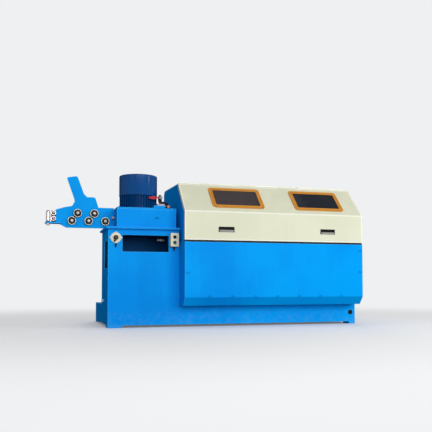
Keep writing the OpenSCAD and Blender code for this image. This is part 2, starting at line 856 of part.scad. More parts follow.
module tank() {
    color(paint_blue) placed() {
        difference() {
            intersection() {
                upright_yz(tank_x, tank_l) polygon(tank_points(0));
                translate([tank_x, -tank_proud, base_h])
                    cube([tank_l, tank_proud + tank_back, tank_z - base_h]);
            }
            upright_yz(tank_x + tank_t, tank_l - 2 * tank_t) polygon(tank_points(tank_t));
        }
        // The flat rim inside the front edge and the splash lip that stands on it
        translate([tank_x + tank_t, -tank_proud + tank_t, tank_z - tank_t])
            cube([tank_l - 2 * tank_t, rim_w - tank_t, tank_t]);
        translate([tank_x + cover_t + cover_gap + end_wall_t, -tank_proud + rim_w - 4, tank_z])
            cube([tank_l - 2 * (cover_t + cover_gap + end_wall_t), 4, lip_h]);
    }
}

// A point on the cover's bent front, taken in by e: the bend moves down along its half angle
function bend_point(e) = [-tank_proud + e, crease_z - e * tan((90 - slope_a) / 2)];
function top_point(e) = [roof_front + e * sin(slope_a), hood_z - e * cos(slope_a)];

roof_y = roof_front + 2 * hinge_r - 2;

// The roof's line from the tank up the back and forward to the roof's front edge, taken in by e
function roof_line(e) =
    concat([[tank_back - e, tank_z]],
           arc(tank_back - roof_r, hood_z + roof_rise - roof_r, roof_r - e, 0, 90, 12),
           [[roof_y, hood_z - e]]);

// The end walls, inside the cover and the roof sheet
module hood_ends() {
    color(paint_blue) placed() difference() {
        for (x = [tank_x + wall_in, tank_right - wall_in - end_wall_t])
            upright_yz(x, end_wall_t)
                polygon(concat(roof_line(cover_t),
                               [top_point(wall_in), bend_point(wall_in), [-tank_proud + wall_in, tank_z]]));
        for (x = [tank_x + wall_in - over, tank_right - wall_in - end_wall_t - over])
            bar_x(x, wire_y, wire_z, passage_r, end_wall_t + 2 * over);
    }
}

hinge_y = roof_front + 2;
hinge_z = hood_z + hinge_r - 1;
knuckle_n = 9;
hinge_l = tank_l - 2 * wall_in;
knuckle_l = hinge_l / knuckle_n;
leaf_w = 16;
leaf_t = 2;

// One knuckle of the hinge, without its bore
module knuckle(i) {
    bar_x(tank_x + wall_in + i * knuckle_l + (i == 0 ? 0 : 0.5), hinge_y, hinge_z, hinge_r,
          knuckle_l - (i == 0 || i == knuckle_n - 1 ? 0.5 : 1));
}

// The roof sheet, round at the back and running down behind the hood, with its hinge knuckles
module hood_roof() {
    back_line = roof_line(cover_t);
    color(paint_cream) placed() {
        upright_yz(tank_x + wall_in, hinge_l)
            polygon(concat(roof_line(0), [for (i = [len(back_line) - 1:-1:0]) back_line[i]]));
        for (i = [1:2:knuckle_n - 2]) {
            knuckle(i);
            translate([tank_x + wall_in + i * knuckle_l + 0.5, hinge_y, hood_z - cover_t])
                cube([knuckle_l - 1, roof_y + cover_t - hinge_y, cover_t]);
        }
        bar_x(tank_x + wall_in + 2, hinge_y, hinge_z, hinge_pin_r, hinge_l - 4);
    }
}

// Places a flat shape on the cover's slope: first axis along X, second up the slope
module on_slope(depth, lift) {
    translate([tank_x, -tank_proud, crease_z]) rotate([slope_a, 0, 0])
        translate([0, 0, lift]) linear_extrude(depth) children();
}

module both_windows() {
    for (x = [glass_x1, glass_x2]) translate([x, glass_up]) children();
}

module both_handles() {
    for (x = [handle_x1, handle_x2])
        translate([tank_x + x - handle_l / 2, 0, cover_z + handle_up - handle_h / 2]) children();
}

window_r = 12;
bottom_lip = 20;
lug_l = 36;
lug_t = 9;
lug_h = 26;
lip_in = wall_in + end_wall_t + cover_gap;

module cover() {
    color(paint_cream) placed() {
        difference() {
            union() {
                // The bent front sheet
                upright_yz(tank_x, tank_l)
                    polygon([[-tank_proud, cover_z], [-tank_proud, crease_z], [roof_front, hood_z],
                             top_point(cover_t), bend_point(cover_t), [-tank_proud + cover_t, cover_z]]);
                // The lip turned in at the lower edge
                translate([tank_x + lip_in, -tank_proud, cover_z])
                    cube([tank_l - 2 * lip_in, bottom_lip, cover_t]);
                // The flanges at the two ends, outside the hood's end walls
                for (x = [tank_x, tank_right - cover_t])
                    upright_yz(x, cover_t)
                        polygon([[-tank_proud, cover_z], [-tank_proud, crease_z], [roof_front, hood_z],
                                 top_point(cover_t), top_point(cover_flange) - [16, 16],
                                 bend_point(cover_flange), [-tank_proud + cover_flange, cover_z]]);
            }
            on_slope(8, -6) both_windows() round_rect(glass_l, glass_h, window_r);
            both_handles() translate([5, -tank_proud - over, 5])
                cube([handle_l - 10, cover_t + 2 * over, handle_h - 10]);
            // Room for the roof's knuckles in the upper edge
            for (i = [1:2:knuckle_n - 2])
                bar_x(tank_x + wall_in + i * knuckle_l - 0.5, hinge_y, hinge_z, hinge_r + 2, knuckle_l + 1);
        }
        // The lifting lug on the upper edge
        translate([tank_x + lug_x - lug_l / 2, roof_front - 16, hood_z - 14]) cube([lug_l, lug_t, lug_h]);
        // Knuckles of the hinge, bored for its pin, with the leaf that ties each to the sheet
        difference() {
            for (i = [0:2:knuckle_n - 1]) {
                knuckle(i);
                on_slope(leaf_t + 0.5, -0.5) translate([wall_in + i * knuckle_l + 1, slope_l - leaf_w])
                    square([knuckle_l - 2, leaf_w]);
            }
            bar_x(tank_x, hinge_y, hinge_z, hinge_pin_r + run_gap, tank_l);
        }
    }
}

// Rubber frames that grip the edge of each window opening
module window_gaskets() {
    color(gasket_orange) placed()
        on_slope(gasket_t, 0) both_windows() difference() {
            translate([-gasket_w, -gasket_w])
                round_rect(glass_l + 2 * gasket_w, glass_h + 2 * gasket_w, window_r + 18);
            round_rect(glass_l, glass_h, window_r);
        }
}

module window_panes() {
    color(dark_steel) placed()
        on_slope(pane_t, 0) both_windows() translate([seat_gap, seat_gap])
            round_rect(glass_l - 2 * seat_gap, glass_h - 2 * seat_gap, window_r);
}

// Flush trays with a finger edge along the top and a bright lower lip
module pull_handles() {
    color(steel_grey) placed() both_handles() difference() {
        union() {
            translate([0, -tank_proud - 3, 0]) cube([handle_l, 3, handle_h]);
            translate([6, -tank_proud, 6]) cube([handle_l - 12, handle_depth, handle_h - 12]);
        }
        translate([9, -tank_proud - 3 - over, 12]) cube([handle_l - 18, handle_depth + over, handle_h - 21]);
    }
}

// Drawing blocks and their wall

block_wall_gap = 40;
block_wall_y = wire_y + block_w / 2 + block_wall_gap;
block_z = wire_z - block_r + 8;
block_pitch = tank_l / block_n;
block_xs = [for (i = [0:block_n - 1]) tank_x + block_pitch * (i + 0.5)];
block_shaft_r = 28;
wall_end = wall_in + end_wall_t + seat_gap;
wall_over = 20;

module block_wall() {
    color(paint_blue) placed() difference() {
        translate([tank_x + wall_end, block_wall_y, base_h + tank_t])
            cube([tank_l - 2 * wall_end, block_wall_t, block_z + block_r + wall_over - base_h - tank_t]);
        for (x = block_xs)
            bar_y(x, block_wall_y - over, block_z, block_shaft_r + seat_gap, block_wall_t + 2 * over);
    }
}

// Stepped drums, each on its own shaft through the wall
module drawing_blocks() {
    color(steel_grey) placed() for (x = block_xs) {
        bar_y(x, wire_y - block_w / 2, block_z, block_r - 8, block_w);
        bar_y(x, wire_y - block_w / 2, block_z, block_r, 10);
        bar_y(x, wire_y + block_w / 2 - 14, block_z, block_r, 14);
        bar_y(x, wire_y + block_w / 2, block_z, block_shaft_r, block_wall_t + 70);
    }
}

casing_in = 40;
casing_gap = 20;
casing_h = 470;

// Plain closed casing of the main drive, on the base behind the tank
module drive_casing() {
    color(paint_blue) placed()
        translate([tank_x + casing_in, tank_back, base_h])
            cube([tank_l - 2 * casing_in, base_d - tank_back - casing_gap, casing_h]);
}

foot_pads();
plinth();
front_panel();
left_panel();
cabinet_back();
table();
drive_coupling();
gearbox();
motor_body();
motor_cowl();
terminal_box();
valve_block();
ball_valve();
valve_lever();
hose_elbow();
wire_guides();
arm_plate();
roller_pins();
slider_left();
slider_right();
roller_lower_left();
roller_lower_middle();
roller_lower_right();
roller_upper_left();
roller_upper_right();
guide_bracket();
upright_roller_front();
upright_roller_back();
flat_roller_top();
flat_roller_bottom();
switch_plate();
switch_knob();
button_box();
button_upper();
button_lower();
tank();
hood_ends();
hood_roof();
cover();
window_gaskets();
window_panes();
pull_handles();
block_wall();
drawing_blocks();
drive_casing();
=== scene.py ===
"""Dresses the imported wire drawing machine: rounded sheet metal, turned rollers, fasteners and finishes."""
import json
import logging
import math
from collections.abc import Callable, Iterable, Iterator
from contextlib import contextmanager
from dataclasses import dataclass
from enum import Enum
from typing import Any

import bpy
from mathutils import Matrix, Vector

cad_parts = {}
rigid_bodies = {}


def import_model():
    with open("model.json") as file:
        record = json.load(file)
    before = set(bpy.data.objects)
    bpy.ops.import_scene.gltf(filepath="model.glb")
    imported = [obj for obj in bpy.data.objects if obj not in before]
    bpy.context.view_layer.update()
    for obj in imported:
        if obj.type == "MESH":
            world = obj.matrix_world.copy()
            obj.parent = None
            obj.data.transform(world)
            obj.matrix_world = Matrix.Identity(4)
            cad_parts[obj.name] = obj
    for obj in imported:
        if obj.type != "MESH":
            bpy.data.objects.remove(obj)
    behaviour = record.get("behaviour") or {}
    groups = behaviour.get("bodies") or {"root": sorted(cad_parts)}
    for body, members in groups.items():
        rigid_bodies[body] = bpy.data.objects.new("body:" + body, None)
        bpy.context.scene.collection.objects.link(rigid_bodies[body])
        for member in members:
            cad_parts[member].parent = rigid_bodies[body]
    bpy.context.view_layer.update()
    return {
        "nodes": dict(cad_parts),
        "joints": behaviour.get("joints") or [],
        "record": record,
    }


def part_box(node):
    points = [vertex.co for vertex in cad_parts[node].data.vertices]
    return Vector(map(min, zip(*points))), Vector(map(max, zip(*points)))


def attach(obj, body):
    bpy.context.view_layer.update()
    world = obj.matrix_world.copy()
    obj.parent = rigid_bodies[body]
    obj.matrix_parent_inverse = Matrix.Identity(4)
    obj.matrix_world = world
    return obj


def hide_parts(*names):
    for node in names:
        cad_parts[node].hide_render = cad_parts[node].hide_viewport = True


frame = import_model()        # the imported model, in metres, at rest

Object = bpy.types.Object
Triple = tuple[float, float, float]
Rgb = Triple
Profile = list[tuple[float, float]]
Number = "Signal | float"

log = logging.getLogger("wire_drawing_machine")


def screen(red: int, green: int, blue: int) -> Rgb:
    """Turn a colour as a screen shows it into the linear colour that a shader reads.

    Args:
        red: Red, from 0 to 255.
        green: Green, from 0 to 255.
        blue: Blue, from 0 to 255.

    Returns:
        The linear red, green and blue.
    """
    shares = (red / 255, green / 255, blue / 255)
    return tuple(v / 12.92 if v <= 0.04045 else ((v + 0.055) / 1.055) ** 2.4 for v in shares)


class Heading(Enum):
    """The way that a turned piece or a fastener points."""

    RIGHT = (1, 0, 0)
    LEFT = (-1, 0, 0)
    BACK = (0, 1, 0)
    FRONT = (0, -1, 0)
    UP = (0, 0, 1)
    DOWN = (0, 0, -1)

    def place(self, at: Vector) -> Matrix:
        """Matrix that stands a piece modelled along +Z at a point, pointing this way."""
        turn = Vector((0, 0, 1)).rotation_difference(Vector(self.value))
        return Matrix.Translation(at) @ turn.to_matrix().to_4x4()


class Signal:
    """A number, colour, vector or shader that leaves a node, with arithmetic for numbers."""

    def __init__(self, tree: "Tree", socket: bpy.types.NodeSocket | None) -> None:
        """Wrap a node's output socket."""
        self.tree = tree
        self.socket = socket

    def _maths(self, operation: str, first: Number, second: Number) -> "Signal":
        """Add a Math node on two values."""
        return self.tree.node("ShaderNodeMath", {"operation": operation}, {0: first, 1: second})

    def __add__(self, other: Number) -> "Signal":
        """Sum."""
        return self._maths("ADD", self, other)

    def __sub__(self, other: Number) -> "Signal":
        """Difference."""
        return self._maths("SUBTRACT", self, other)

    def __rsub__(self, other: Number) -> "Signal":
        """Difference from a number."""
        return self._maths("SUBTRACT", other, self)

    def __mul__(self, other: Number) -> "Signal":
        """Product."""
        return self._maths("MULTIPLY", self, other)

    __radd__ = __add__
    __rmul__ = __mul__

    def larger(self, other: Number) -> "Signal":
        """The larger of two values."""
        return self._maths("MAXIMUM", self, other)

    def wave(self) -> "Signal":
        """Sine of the value."""
        return self._maths("SINE", self, 0.0)

    def ramp(self, low: float, high: float) -> "Signal":
        """Rise smoothly from 0 at low to 1 at high.

        Args:
            low: The value that becomes 0.
            high: The value that becomes 1, which may lie below low.

        Returns:
            The value between 0 and 1.
        """
        return self.tree.node("ShaderNodeMapRange", {"interpolation_type": "SMOOTHSTEP"},
                              {"Value": self, "From Min": low, "From Max": high})


class Tree:
    """A node tree, with one method that adds every node."""

    def __init__(self, tree: bpy.types.NodeTree) -> None:
        """Start from an emptied tree."""
        self.tree = tree
        tree.nodes.clear()

    def node(self, kind: str, settings: dict[str, Any], inputs: dict[int | str, Any],
             output: int | str = 0) -> Signal:
        """Add a node.

        Args:
            kind: The node's type.
            settings: Its properties, set before its sockets.
            inputs: Values or signals by the name or number of their socket.
            output: The output socket to read.

        Returns:
            The signal of that output, with no socket where the node has none.
        """
        node = self.tree.nodes.new(kind)
        for name, value in settings.items():
            setattr(node, name, value)
        for name, value in inputs.items():
            if isinstance(value, Signal):
                self.tree.links.new(value.socket, node.inputs[name])
            else:
                node.inputs[name].default_value = value
        return Signal(self, node.outputs[output] if node.outputs else None)

    def shown(self) -> Signal:
        """1 for rays that show the background: from the camera, off a gloss or through glass."""
        rays = ("Is Camera Ray", "Is Glossy Ray", "Is Transmission Ray")
        first, second, third = (self.node("ShaderNodeLightPath", {}, {}, ray) for ray in rays)
        return first.larger(second).larger(third)


class Shader(Tree):
    """The node tree of one material, with its principled surface."""

    def __init__(self, name: str) -> None:
        """Start a material with a plain principled surface.

        Args:
            name: Name of the material.
        """
        self.material = bpy.data.materials.new(name)
        self.material.use_nodes = True
        super().__init__(self.material.node_tree)
        self.surface = self.node("ShaderNodeBsdfPrincipled", {}, {})
        self.point = self.node("ShaderNodeTexCoord", {}, {}, "Object")
        self.show(self.surface)

    def show(self, shader: Signal) -> None:
        """Make a shader the one that the material shows, by an output node of its own."""
        for old in [n for n in self.tree.nodes if n.type == "OUTPUT_MATERIAL"]:
            self.tree.nodes.remove(old)
        self.node("ShaderNodeOutputMaterial", {}, {"Surface": shader})

    def moved(self, centre: Vector = Vector(), stretch: Triple = (1, 1, 1),
              turn: Triple = (0, 0, 0)) -> Signal:
        """Object coordinates measured from a centre.

        Args:
            centre: The point that becomes the origin.
            stretch: Scale along each axis.
            turn: Turn about each axis, in radians.

        Returns:
            The moved coordinates.
        """
        shifted = self.node("ShaderNodeMapping", {"vector_type": "POINT"},
                            {"Vector": self.point, "Location": tuple(-c for c in centre)})
        return self.node("ShaderNodeMapping", {"vector_type": "POINT"},
                         {"Vector": shifted, "Rotation": turn, "Scale": stretch})

    def part(self, vector: Signal, axis: str) -> Signal:
        """One of X, Y and Z of a vector."""
        return self.node("ShaderNodeSeparateXYZ", {}, {"Vector": vector}, axis)

    def reach(self, vector: Signal) -> Signal:
        """Length of a vector."""
        return self.node("ShaderNodeVectorMath", {"operation": "LENGTH"}, {0: vector}, "Value")

    def noise(self, scale: float, detail: float = 3.0, roughness: float = 0.5,
              vector: Signal | None = None) -> Signal:
        """Cloudy noise between 0 and 1.

        Args:
            scale: Waves in each metre.
            detail: Number of finer layers.
            roughness: Strength of the finer layers.
            vector: Coordinates, or the object's own when left out.

        Returns:
            The noise.
        """
        return self.node("ShaderNodeTexNoise", {}, {"Vector": vector or self.point, "Scale": scale,
                                                    "Detail": detail, "Roughness": roughness})

    def blend(self, share: Number, first: Any, second: Any) -> Signal:
        """Mix two colours, given as linear colours or signals, by a share between 0 and 1."""
        colours = [c if isinstance(c, Signal) else (*c, 1.0) for c in (first, second)]
        return self.node("ShaderNodeMix", {"data_type": "RGBA"},
                         {0: share, 6: colours[0], 7: colours[1]}, 2)

    def edges(self, radius: float) -> Signal:
        """Mask that is high along the sharp edges of a piece.

        Args:
            radius: Reach from the edge, in metres.

        Returns:
            The mask between 0 and 1.
        """
        rounded = self.node("ShaderNodeBevel", {"samples": 4}, {"Radius": radius})
        plain = self.node("ShaderNodeNewGeometry", {}, {}, "Normal")
        match = self.node("ShaderNodeVectorMath", {"operation": "DOT_PRODUCT"},
                          {0: rounded, 1: plain}, "Value")
        return (1 - match).ramp(0.02, 0.16)

    def facing(self, axis: str) -> Signal:
        """How far a surface faces along an axis, from -1 to 1."""
        return self.part(self.node("ShaderNodeNewGeometry", {}, {}, "Normal"), axis)

    def squarely(self) -> Signal:
        """How squarely the surface is looked at: 1 head-on and 0 along it, to hold back its gloss."""
        aslant = self.node("ShaderNodeLayerWeight", {}, {"Blend": 0.5}, "Facing")
        return aslant.ramp(0.85, 0.3)

    def relief(self, height: Signal, depth: float, strength: float = 1.0) -> None:
        """Feed the surface's normal with a bump.

        Args:
            height: Height between 0 and 1.
            depth: Height of a step from 0 to 1, in metres.
            strength: Share of the bump that shows.
        """
        self.feed(Normal=self.node("ShaderNodeBump", {}, {"Height": height, "Distance": depth,
                                                          "Strength": strength}))

    def feed(self, **sockets: Any) -> None:
        """Link signals to the surface's sockets, or set constants on them.

        Args:
            **sockets: Values or signals by socket name, with spaces written as underscores.
        """
        for name, value in sockets.items():
            socket = self.surface.socket.node.inputs[name.replace("_", " ")]
            if isinstance(value, Signal):
                self.tree.links.new(value.socket, socket)
            else:
                socket.default_value = value


@dataclass(frozen=True)
class Finish:
    """A surface finish, made into a material at its first use."""

    name: str
    slot: str

    def paint(self, shader: Shader) -> None:
        """Build the finish's nodes on a shader."""
        raise NotImplementedError

    def material(self) -> bpy.types.Material:
        """The material of this finish."""
        found = bpy.data.materials.get(self.name)
        if found is None:
            shader = Shader(self.name)
            self.paint(shader)
            found = shader.material
        return found

    def dress(self, piece: Object) -> None:
        """Put the finish on a new piece."""
        piece.data.materials.clear()
        piece.data.materials.append(self.material())


DUST = screen(176, 170, 152)
# Near black: oil for the scuffs, and painted shade with grease in the arm's slots.
OIL_AND_SHADE = screen(20, 22, 26)
RUBBED = screen(2, 70, 140)
# Dark primer blue, used as painted shade on the inner sides of the cabinet sheets.
PAINTED_INNER_SHADE = screen(10, 40, 84)


@dataclass(frozen=True)
class Enamel(Finish):
    """Sprayed enamel: slow drift of colour, waves in the sheet, orange peel, dust, rubbed edges and a painted
    highlight along its edges.
    """

    colour: Rgb
    deep: Rgb
    light: Rgb
    bare: Rgb
    roughness: float = 0.4
    gloss: float = 0.04
    dust: float = 0.10
    lying: float = 0.3
    lying_from: float = 0.85
    wave: float = 0.0010
    painted_highlight_share: float = 0.75
    painted_highlight_reach: float = 0.008

    def paint(self, shader: Shader) -> None:
        """Build the enamel's nodes."""
        slow = shader.noise(1.3, 2.0)
        cloud = shader.noise(9.0, 4.0, 0.6)
        streak = shader.noise(1.0, 4.0, 0.6, shader.moved(stretch=(24, 24, 2.0)))
        tone = (slow * 0.76 + cloud * 0.12 + streak * 0.12).ramp(0.38, 0.62)
        colour = shader.blend(tone, self.deep, self.colour)
        # Painted highlight: sharp edges are lightened towards a light colour, as if they caught the light.
        edge = shader.edges(self.painted_highlight_reach)
        colour = shader.blend(edge * self.painted_highlight_share, colour, self.light)
        settled = self.settled_dust(shader)
        colour = shader.blend(settled, colour, DUST)
        rubbed = shader.edges(0.004) * shader.noise(48.0, 4.0, 0.7).ramp(0.6, 0.68)
        colour = shader.blend(rubbed * 0.7, colour, self.bare)
        scuff = shader.noise(1.0, 5.0, 0.75, shader.moved(stretch=(17, 17, 62))).ramp(0.72, 0.82)
        colour = self.marked(shader, shader.blend(scuff * 0.12, colour, OIL_AND_SHADE))
        peel = shader.noise(330.0, 1.0)
        coat = shader.squarely() * (1 - settled) * self.gloss
        shader.feed(Base_Color=colour, Roughness=settled * 0.4 + cloud * 0.12 + (self.roughness - 0.06),
                    Specular_IOR_Level=0.0, Coat_Weight=coat, Coat_Roughness=self.roughness)
        shader.relief(slow * 0.8 + peel * 0.05 + cloud * 0.06, self.wave, 0.5)

    def settled_dust(self, shader: Shader) -> Signal:
        """Share of dust: splashed up from the floor, and lying on what faces up."""
        height = shader.part(shader.point, "Z")
        low = height.ramp(0.2, 0.0) * shader.noise(30.0, 5.0, 0.65).ramp(0.4, 0.75) * self.dust
        open_up = shader.facing("Z").ramp(self.lying_from - 0.3, self.lying_from)
        return low.larger(open_up * shader.noise(6.0, 4.0).ramp(0.1, 0.7) * self.lying)

    def marked(self, shader: Shader, colour: Signal) -> Signal:
        """The colour with the marks that one piece alone bears: here none."""
        return colour


@dataclass(frozen=True)
class MarkedEnamel(Enamel):
    """Enamel with one dark rub mark on a face that looks to the front."""

    mark: tuple[float, float, float] = (0, 0, 0)
    mark_width: float = 0.032
    mark_height: float = 0.014

    def marked(self, shader: Shader, colour: Signal) -> Signal:
        """The colour with the rub mark."""
        place = shader.moved(Vector(self.mark), (1 / self.mark_width, 0, 1 / self.mark_height), (0, 0.3, 0))
        spot = (shader.reach(place) + shader.noise(90.0, 4.0, 0.7) * 0.9).ramp(1.4, 0.5)
        return shader.blend(spot * shader.facing("Y").ramp(-0.6, -0.9) * 0.8, colour, RUBBED)


@dataclass(frozen=True)
class InnerShadedEnamel(Enamel):
    """Enamel with painted shade on its inner side, darkened towards a dark primer blue, for sheets that close a
    hollow.
    """

    axis: str = "Y"
    inward: float = 1.0

    def marked(self, shader: Shader, colour: Signal) -> Signal:
        """The colour with the painted shade on the inner side."""
        inner = (shader.facing(self.axis) * self.inward).ramp(0.5, 0.8)
        return shader.blend(inner * 0.85, colour, PAINTED_INNER_SHADE)


@dataclass(frozen=True)
class SlotShadedEnamel(Enamel):
    """Enamel with painted shade and grease, near black, on the floor of the slots that are sunk behind its front
    face.
    """

    sunk_from: float = 0.0

    def marked(self, shader: Shader, colour: Signal) -> Signal:
        """The colour with the painted shade and grease in the slots."""
        sunk = shader.part(shader.point, "Y").ramp(self.sunk_from, self.sunk_from + 0.001)
        floor = sunk * shader.facing("Y").ramp(-0.7, -0.95)
        return shader.blend(floor * 0.93, colour, OIL_AND_SHADE)


@dataclass(frozen=True)
class Machined(Finish):
    """Metal with cutting marks along one way and a film of oil and dust."""

    colour: Rgb
    roughness: float = 0.3
    grain: tuple[float, float, float] = (900, 60, 900)
    stain: float = 0.35
    metallic: float = 1.0

    def paint(self, shader: Shader) -> None:
        """Build the metal's nodes."""
        grain = shader.noise(1.0, 2.0, 0.6, shader.moved(stretch=self.grain))
        film = shader.noise(38.0, 5.0, 0.65).ramp(0.45, 0.75)
        edge = shader.edges(0.0015)
        colour = shader.blend(film * self.stain, self.colour, tuple(c * 0.25 for c in self.colour))
        colour = shader.blend(edge * 0.5, colour, tuple(min(1.0, c * 1.35) for c in self.colour))
        shader.feed(Base_Color=colour, Metallic=self.metallic,
                    Roughness=grain * 0.16 + film * 0.2 + (self.roughness - 0.08))
        shader.relief(grain, 0.00008, 0.5)


@dataclass(frozen=True)
class Turned(Finish):
    """Bare steel off the lathe: fine rings round a centre line along Y or Z."""

    colour: Rgb
    centre: tuple[float, float, float]
    along: str = "Y"
    roughness: float = 0.24
    pitch: float = 0.0006
    stain: float = 0.4
    metallic: float = 0.6

    def paint(self, shader: Shader) -> None:
        """Build the turned steel's nodes."""
        place = shader.moved(Vector(self.centre), (1, 0, 1) if self.along == "Y" else (1, 1, 0))
        travel = shader.reach(place) + shader.part(shader.point, self.along)
        rings = (travel * (2 * math.pi / self.pitch)).wave() * 0.5 + 0.5
        film = shader.noise(60.0, 4.0, 0.6).ramp(0.42, 0.8)
        colour = shader.blend(film * self.stain, self.colour, tuple(c * 0.35 for c in self.colour))
        shader.feed(Base_Color=colour, Metallic=self.metallic,
                    Roughness=rings * 0.05 + film * 0.18 + self.roughness)
        shader.relief(rings, 0.00004, 0.35)


@dataclass(frozen=True)
class Moulded(Finish):
    """Moulded plastic or rubber: a fine grain, soft colour drift and a little dust in the open."""

    colour: Rgb
    roughness: float = 0.5
    grain: float = 700.0
    depth: float = 0.00006
    dust: float = 0.15
    specular: float = 0.3

    def paint(self, shader: Shader) -> None:
        """Build the plastic's nodes."""
        drift = shader.noise(24.0, 3.0)
        grain = shader.noise(self.grain, 1.0)
        dusty = shader.noise(55.0, 5.0, 0.65).ramp(0.45, 0.8) * self.dust
        worn = shader.edges(0.0012) * 0.25
        colour = shader.blend(drift.ramp(0.3, 0.7), tuple(c * 0.86 for c in self.colour), self.colour)
        colour = shader.blend(dusty, colour, DUST)
        colour = shader.blend(worn, colour, tuple(min(1.0, c * 1.6 + 0.02) for c in self.colour))
        shader.feed(Base_Color=colour, Roughness=drift * 0.1 + dusty * 0.5 + (self.roughness - 0.05),
                    Specular_IOR_Level=self.specular)
        shader.relief(grain, self.depth, 0.5)


@dataclass(frozen=True)
class TintedGlass(Finish):
    """Dark tinted safety glass with a thin film of dust and wiping marks, and a painted reflection that turns it
    browner at its left.
    """

    left_reflection: Rgb
    blue: Rgb
    turn_at: float
    clear: float = 0.1
    specular: float = 0.1

    def paint(self, shader: Shader) -> None:
        """Build the glass's nodes."""
        strokes = shader.moved(stretch=(5, 40, 40), turn=(0, 0.4, 0))
        wiped = shader.noise(1.0, 4.0, 0.6, strokes).ramp(0.45, 0.85)
        dust = shader.noise(70.0, 5.0, 0.7).ramp(0.5, 0.9)
        # Painted reflection: brown at the left of the panes, turning dark blue towards the right.
        side = shader.part(shader.point, "X").ramp(self.turn_at - 0.12, self.turn_at + 0.25)
        colour = shader.blend(side, self.left_reflection, self.blue)
        colour = shader.blend(dust * 0.05 + wiped * 0.03, colour, DUST)
        shader.feed(Base_Color=colour, Roughness=wiped * 0.1 + dust * 0.12 + 0.06,
                    Alpha=dust * 0.1 + (1 - self.clear), IOR=1.5, Specular_IOR_Level=self.specular)


# The third colour of each enamel is the painted highlight of its edges; the fourth is the bare metal of its
# rubbed edges.
BLUE = Enamel("blue_enamel", "blue_paint", screen(0, 156, 240), screen(0, 138, 228), screen(84, 206, 252),
              screen(104, 112, 120))
CREAM = Enamel("cream_enamel", "cream_paint", screen(220, 221, 198), screen(213, 215, 190),
               screen(252, 253, 248), screen(160, 158, 148), roughness=0.5, gloss=0.1,
               lying_from=0.8, painted_highlight_share=0.95, painted_highlight_reach=0.016)
MOTOR = Enamel("motor_enamel", "motor_paint", screen(0, 78, 142), screen(0, 60, 120), screen(30, 104, 168),
               screen(80, 96, 116), roughness=0.2, gloss=0.28, wave=0.0004, painted_highlight_share=0.2)
# Painted shade: a darker, duller copy of the motor's paint for the finned body.
MOTOR_BODY_SHADED = Enamel("motor_body_enamel", "motor_paint", screen(0, 62, 118), screen(0, 50, 100),
                    screen(20, 84, 140), screen(70, 84, 100), gloss=0.08, wave=0.0003, painted_highlight_share=0.3,
                    painted_highlight_reach=0.003)
STEEL = Machined("machined_steel_finish", "machined_steel", screen(170, 160, 156), metallic=0.5, roughness=0.4)
ZINC = Machined("zinc_plate", "machined_steel", screen(166, 170, 170), roughness=0.5, metallic=0.2)
DARK_STEEL = Machined("blackened_steel", "dark_steel", screen(40, 42, 48), roughness=0.5, stain=0.5,
                      metallic=0.7)
BRIGHT_ZINC = Machined("bright_zinc", "machined_steel", screen(214, 218, 216), roughness=0.5, metallic=0.0)
GREY_LIP = Moulded("grey_lip", "machined_steel", screen(150, 152, 144), roughness=0.5, specular=0.1)
ALUMINIUM = Machined("milled_aluminium", "aluminium", screen(150, 138, 148), roughness=0.5,
                     grain=(300, 900, 300), stain=0.25, metallic=0.3)
NICKEL = Machined("nickel_plate", "valve_brass", screen(104, 116, 116), roughness=0.45, stain=0.3, metallic=0.3)
COPPER = Machined("copper_cap", "valve_brass", screen(156, 100, 78), roughness=0.45, stain=0.25, metallic=0.3)
SLEEVE = Moulded("dipped_sleeve", "red_sleeve", screen(176, 10, 44), roughness=0.4, grain=160.0,
                 depth=0.0002, dust=0.03, specular=0.15)
BLACK = Moulded("black_moulding", "black_plastic", screen(22, 23, 27), roughness=0.5, dust=0.06, specular=0.1)
HOSE = Moulded("black_hose", "black_plastic", screen(16, 17, 24), roughness=0.5, grain=420.0, dust=0.05,
               specular=0.1)
GASKET = Moulded("gasket_rubber_finish", "gasket_rubber", screen(204, 136, 44), roughness=0.55,
                 grain=420.0, depth=0.00012, dust=0.12, specular=0.12)
CREAM_PLASTIC = Moulded("cream_moulding", "cream_plastic", screen(228, 224, 196), roughness=0.48,
                        specular=0.15)
GREEN_PLASTIC = Moulded("green_moulding", "black_plastic", screen(34, 70, 44), roughness=0.4, specular=0.15)
# Painted shade: a darker copy of the blue, with no edge highlight, for the plug welds.
WELD_SHADED_BLUE = Enamel("weld_enamel", "blue_paint", screen(0, 136, 214), screen(0, 122, 200), screen(20, 140, 214),
                   screen(104, 112, 120), painted_highlight_share=0.0)
KNOB_BROWN = Moulded("knob_inlay", "black_plastic", screen(76, 66, 58), roughness=0.4, specular=0.15)
GLASS = TintedGlass("tinted_glass", "dark_glass", screen(54, 42, 44), screen(2, 14, 28), 0.1)


def focus(piece: Object) -> None:
    """Select one object alone, in object mode."""
    if bpy.context.object and bpy.context.object.mode != "OBJECT":
        bpy.ops.object.mode_set(mode="OBJECT")
    bpy.ops.object.select_all(action="DESELECT")
    piece.select_set(True)
    bpy.context.view_layer.objects.active = piece


def clear_bench() -> None:
    """Deselect everything, so that an operator can't reach the CAD nodes."""
    bpy.ops.object.select_all(action="DESELECT")


@contextmanager
def editing(piece: Object, everything: bool = True) -> Iterator[None]:
    """Work on one object in edit mode.

    Args:
        piece: The object.
        everything: Whether all of its mesh is selected at the start.

    Yields:
        Nothing; the object leaves edit mode afterwards.
    """
    focus(piece)
    bpy.ops.object.mode_set(mode="EDIT")
    if everything:
        bpy.ops.mesh.select_all(action="SELECT")
    yield
    bpy.ops.object.mode_set(mode="OBJECT")


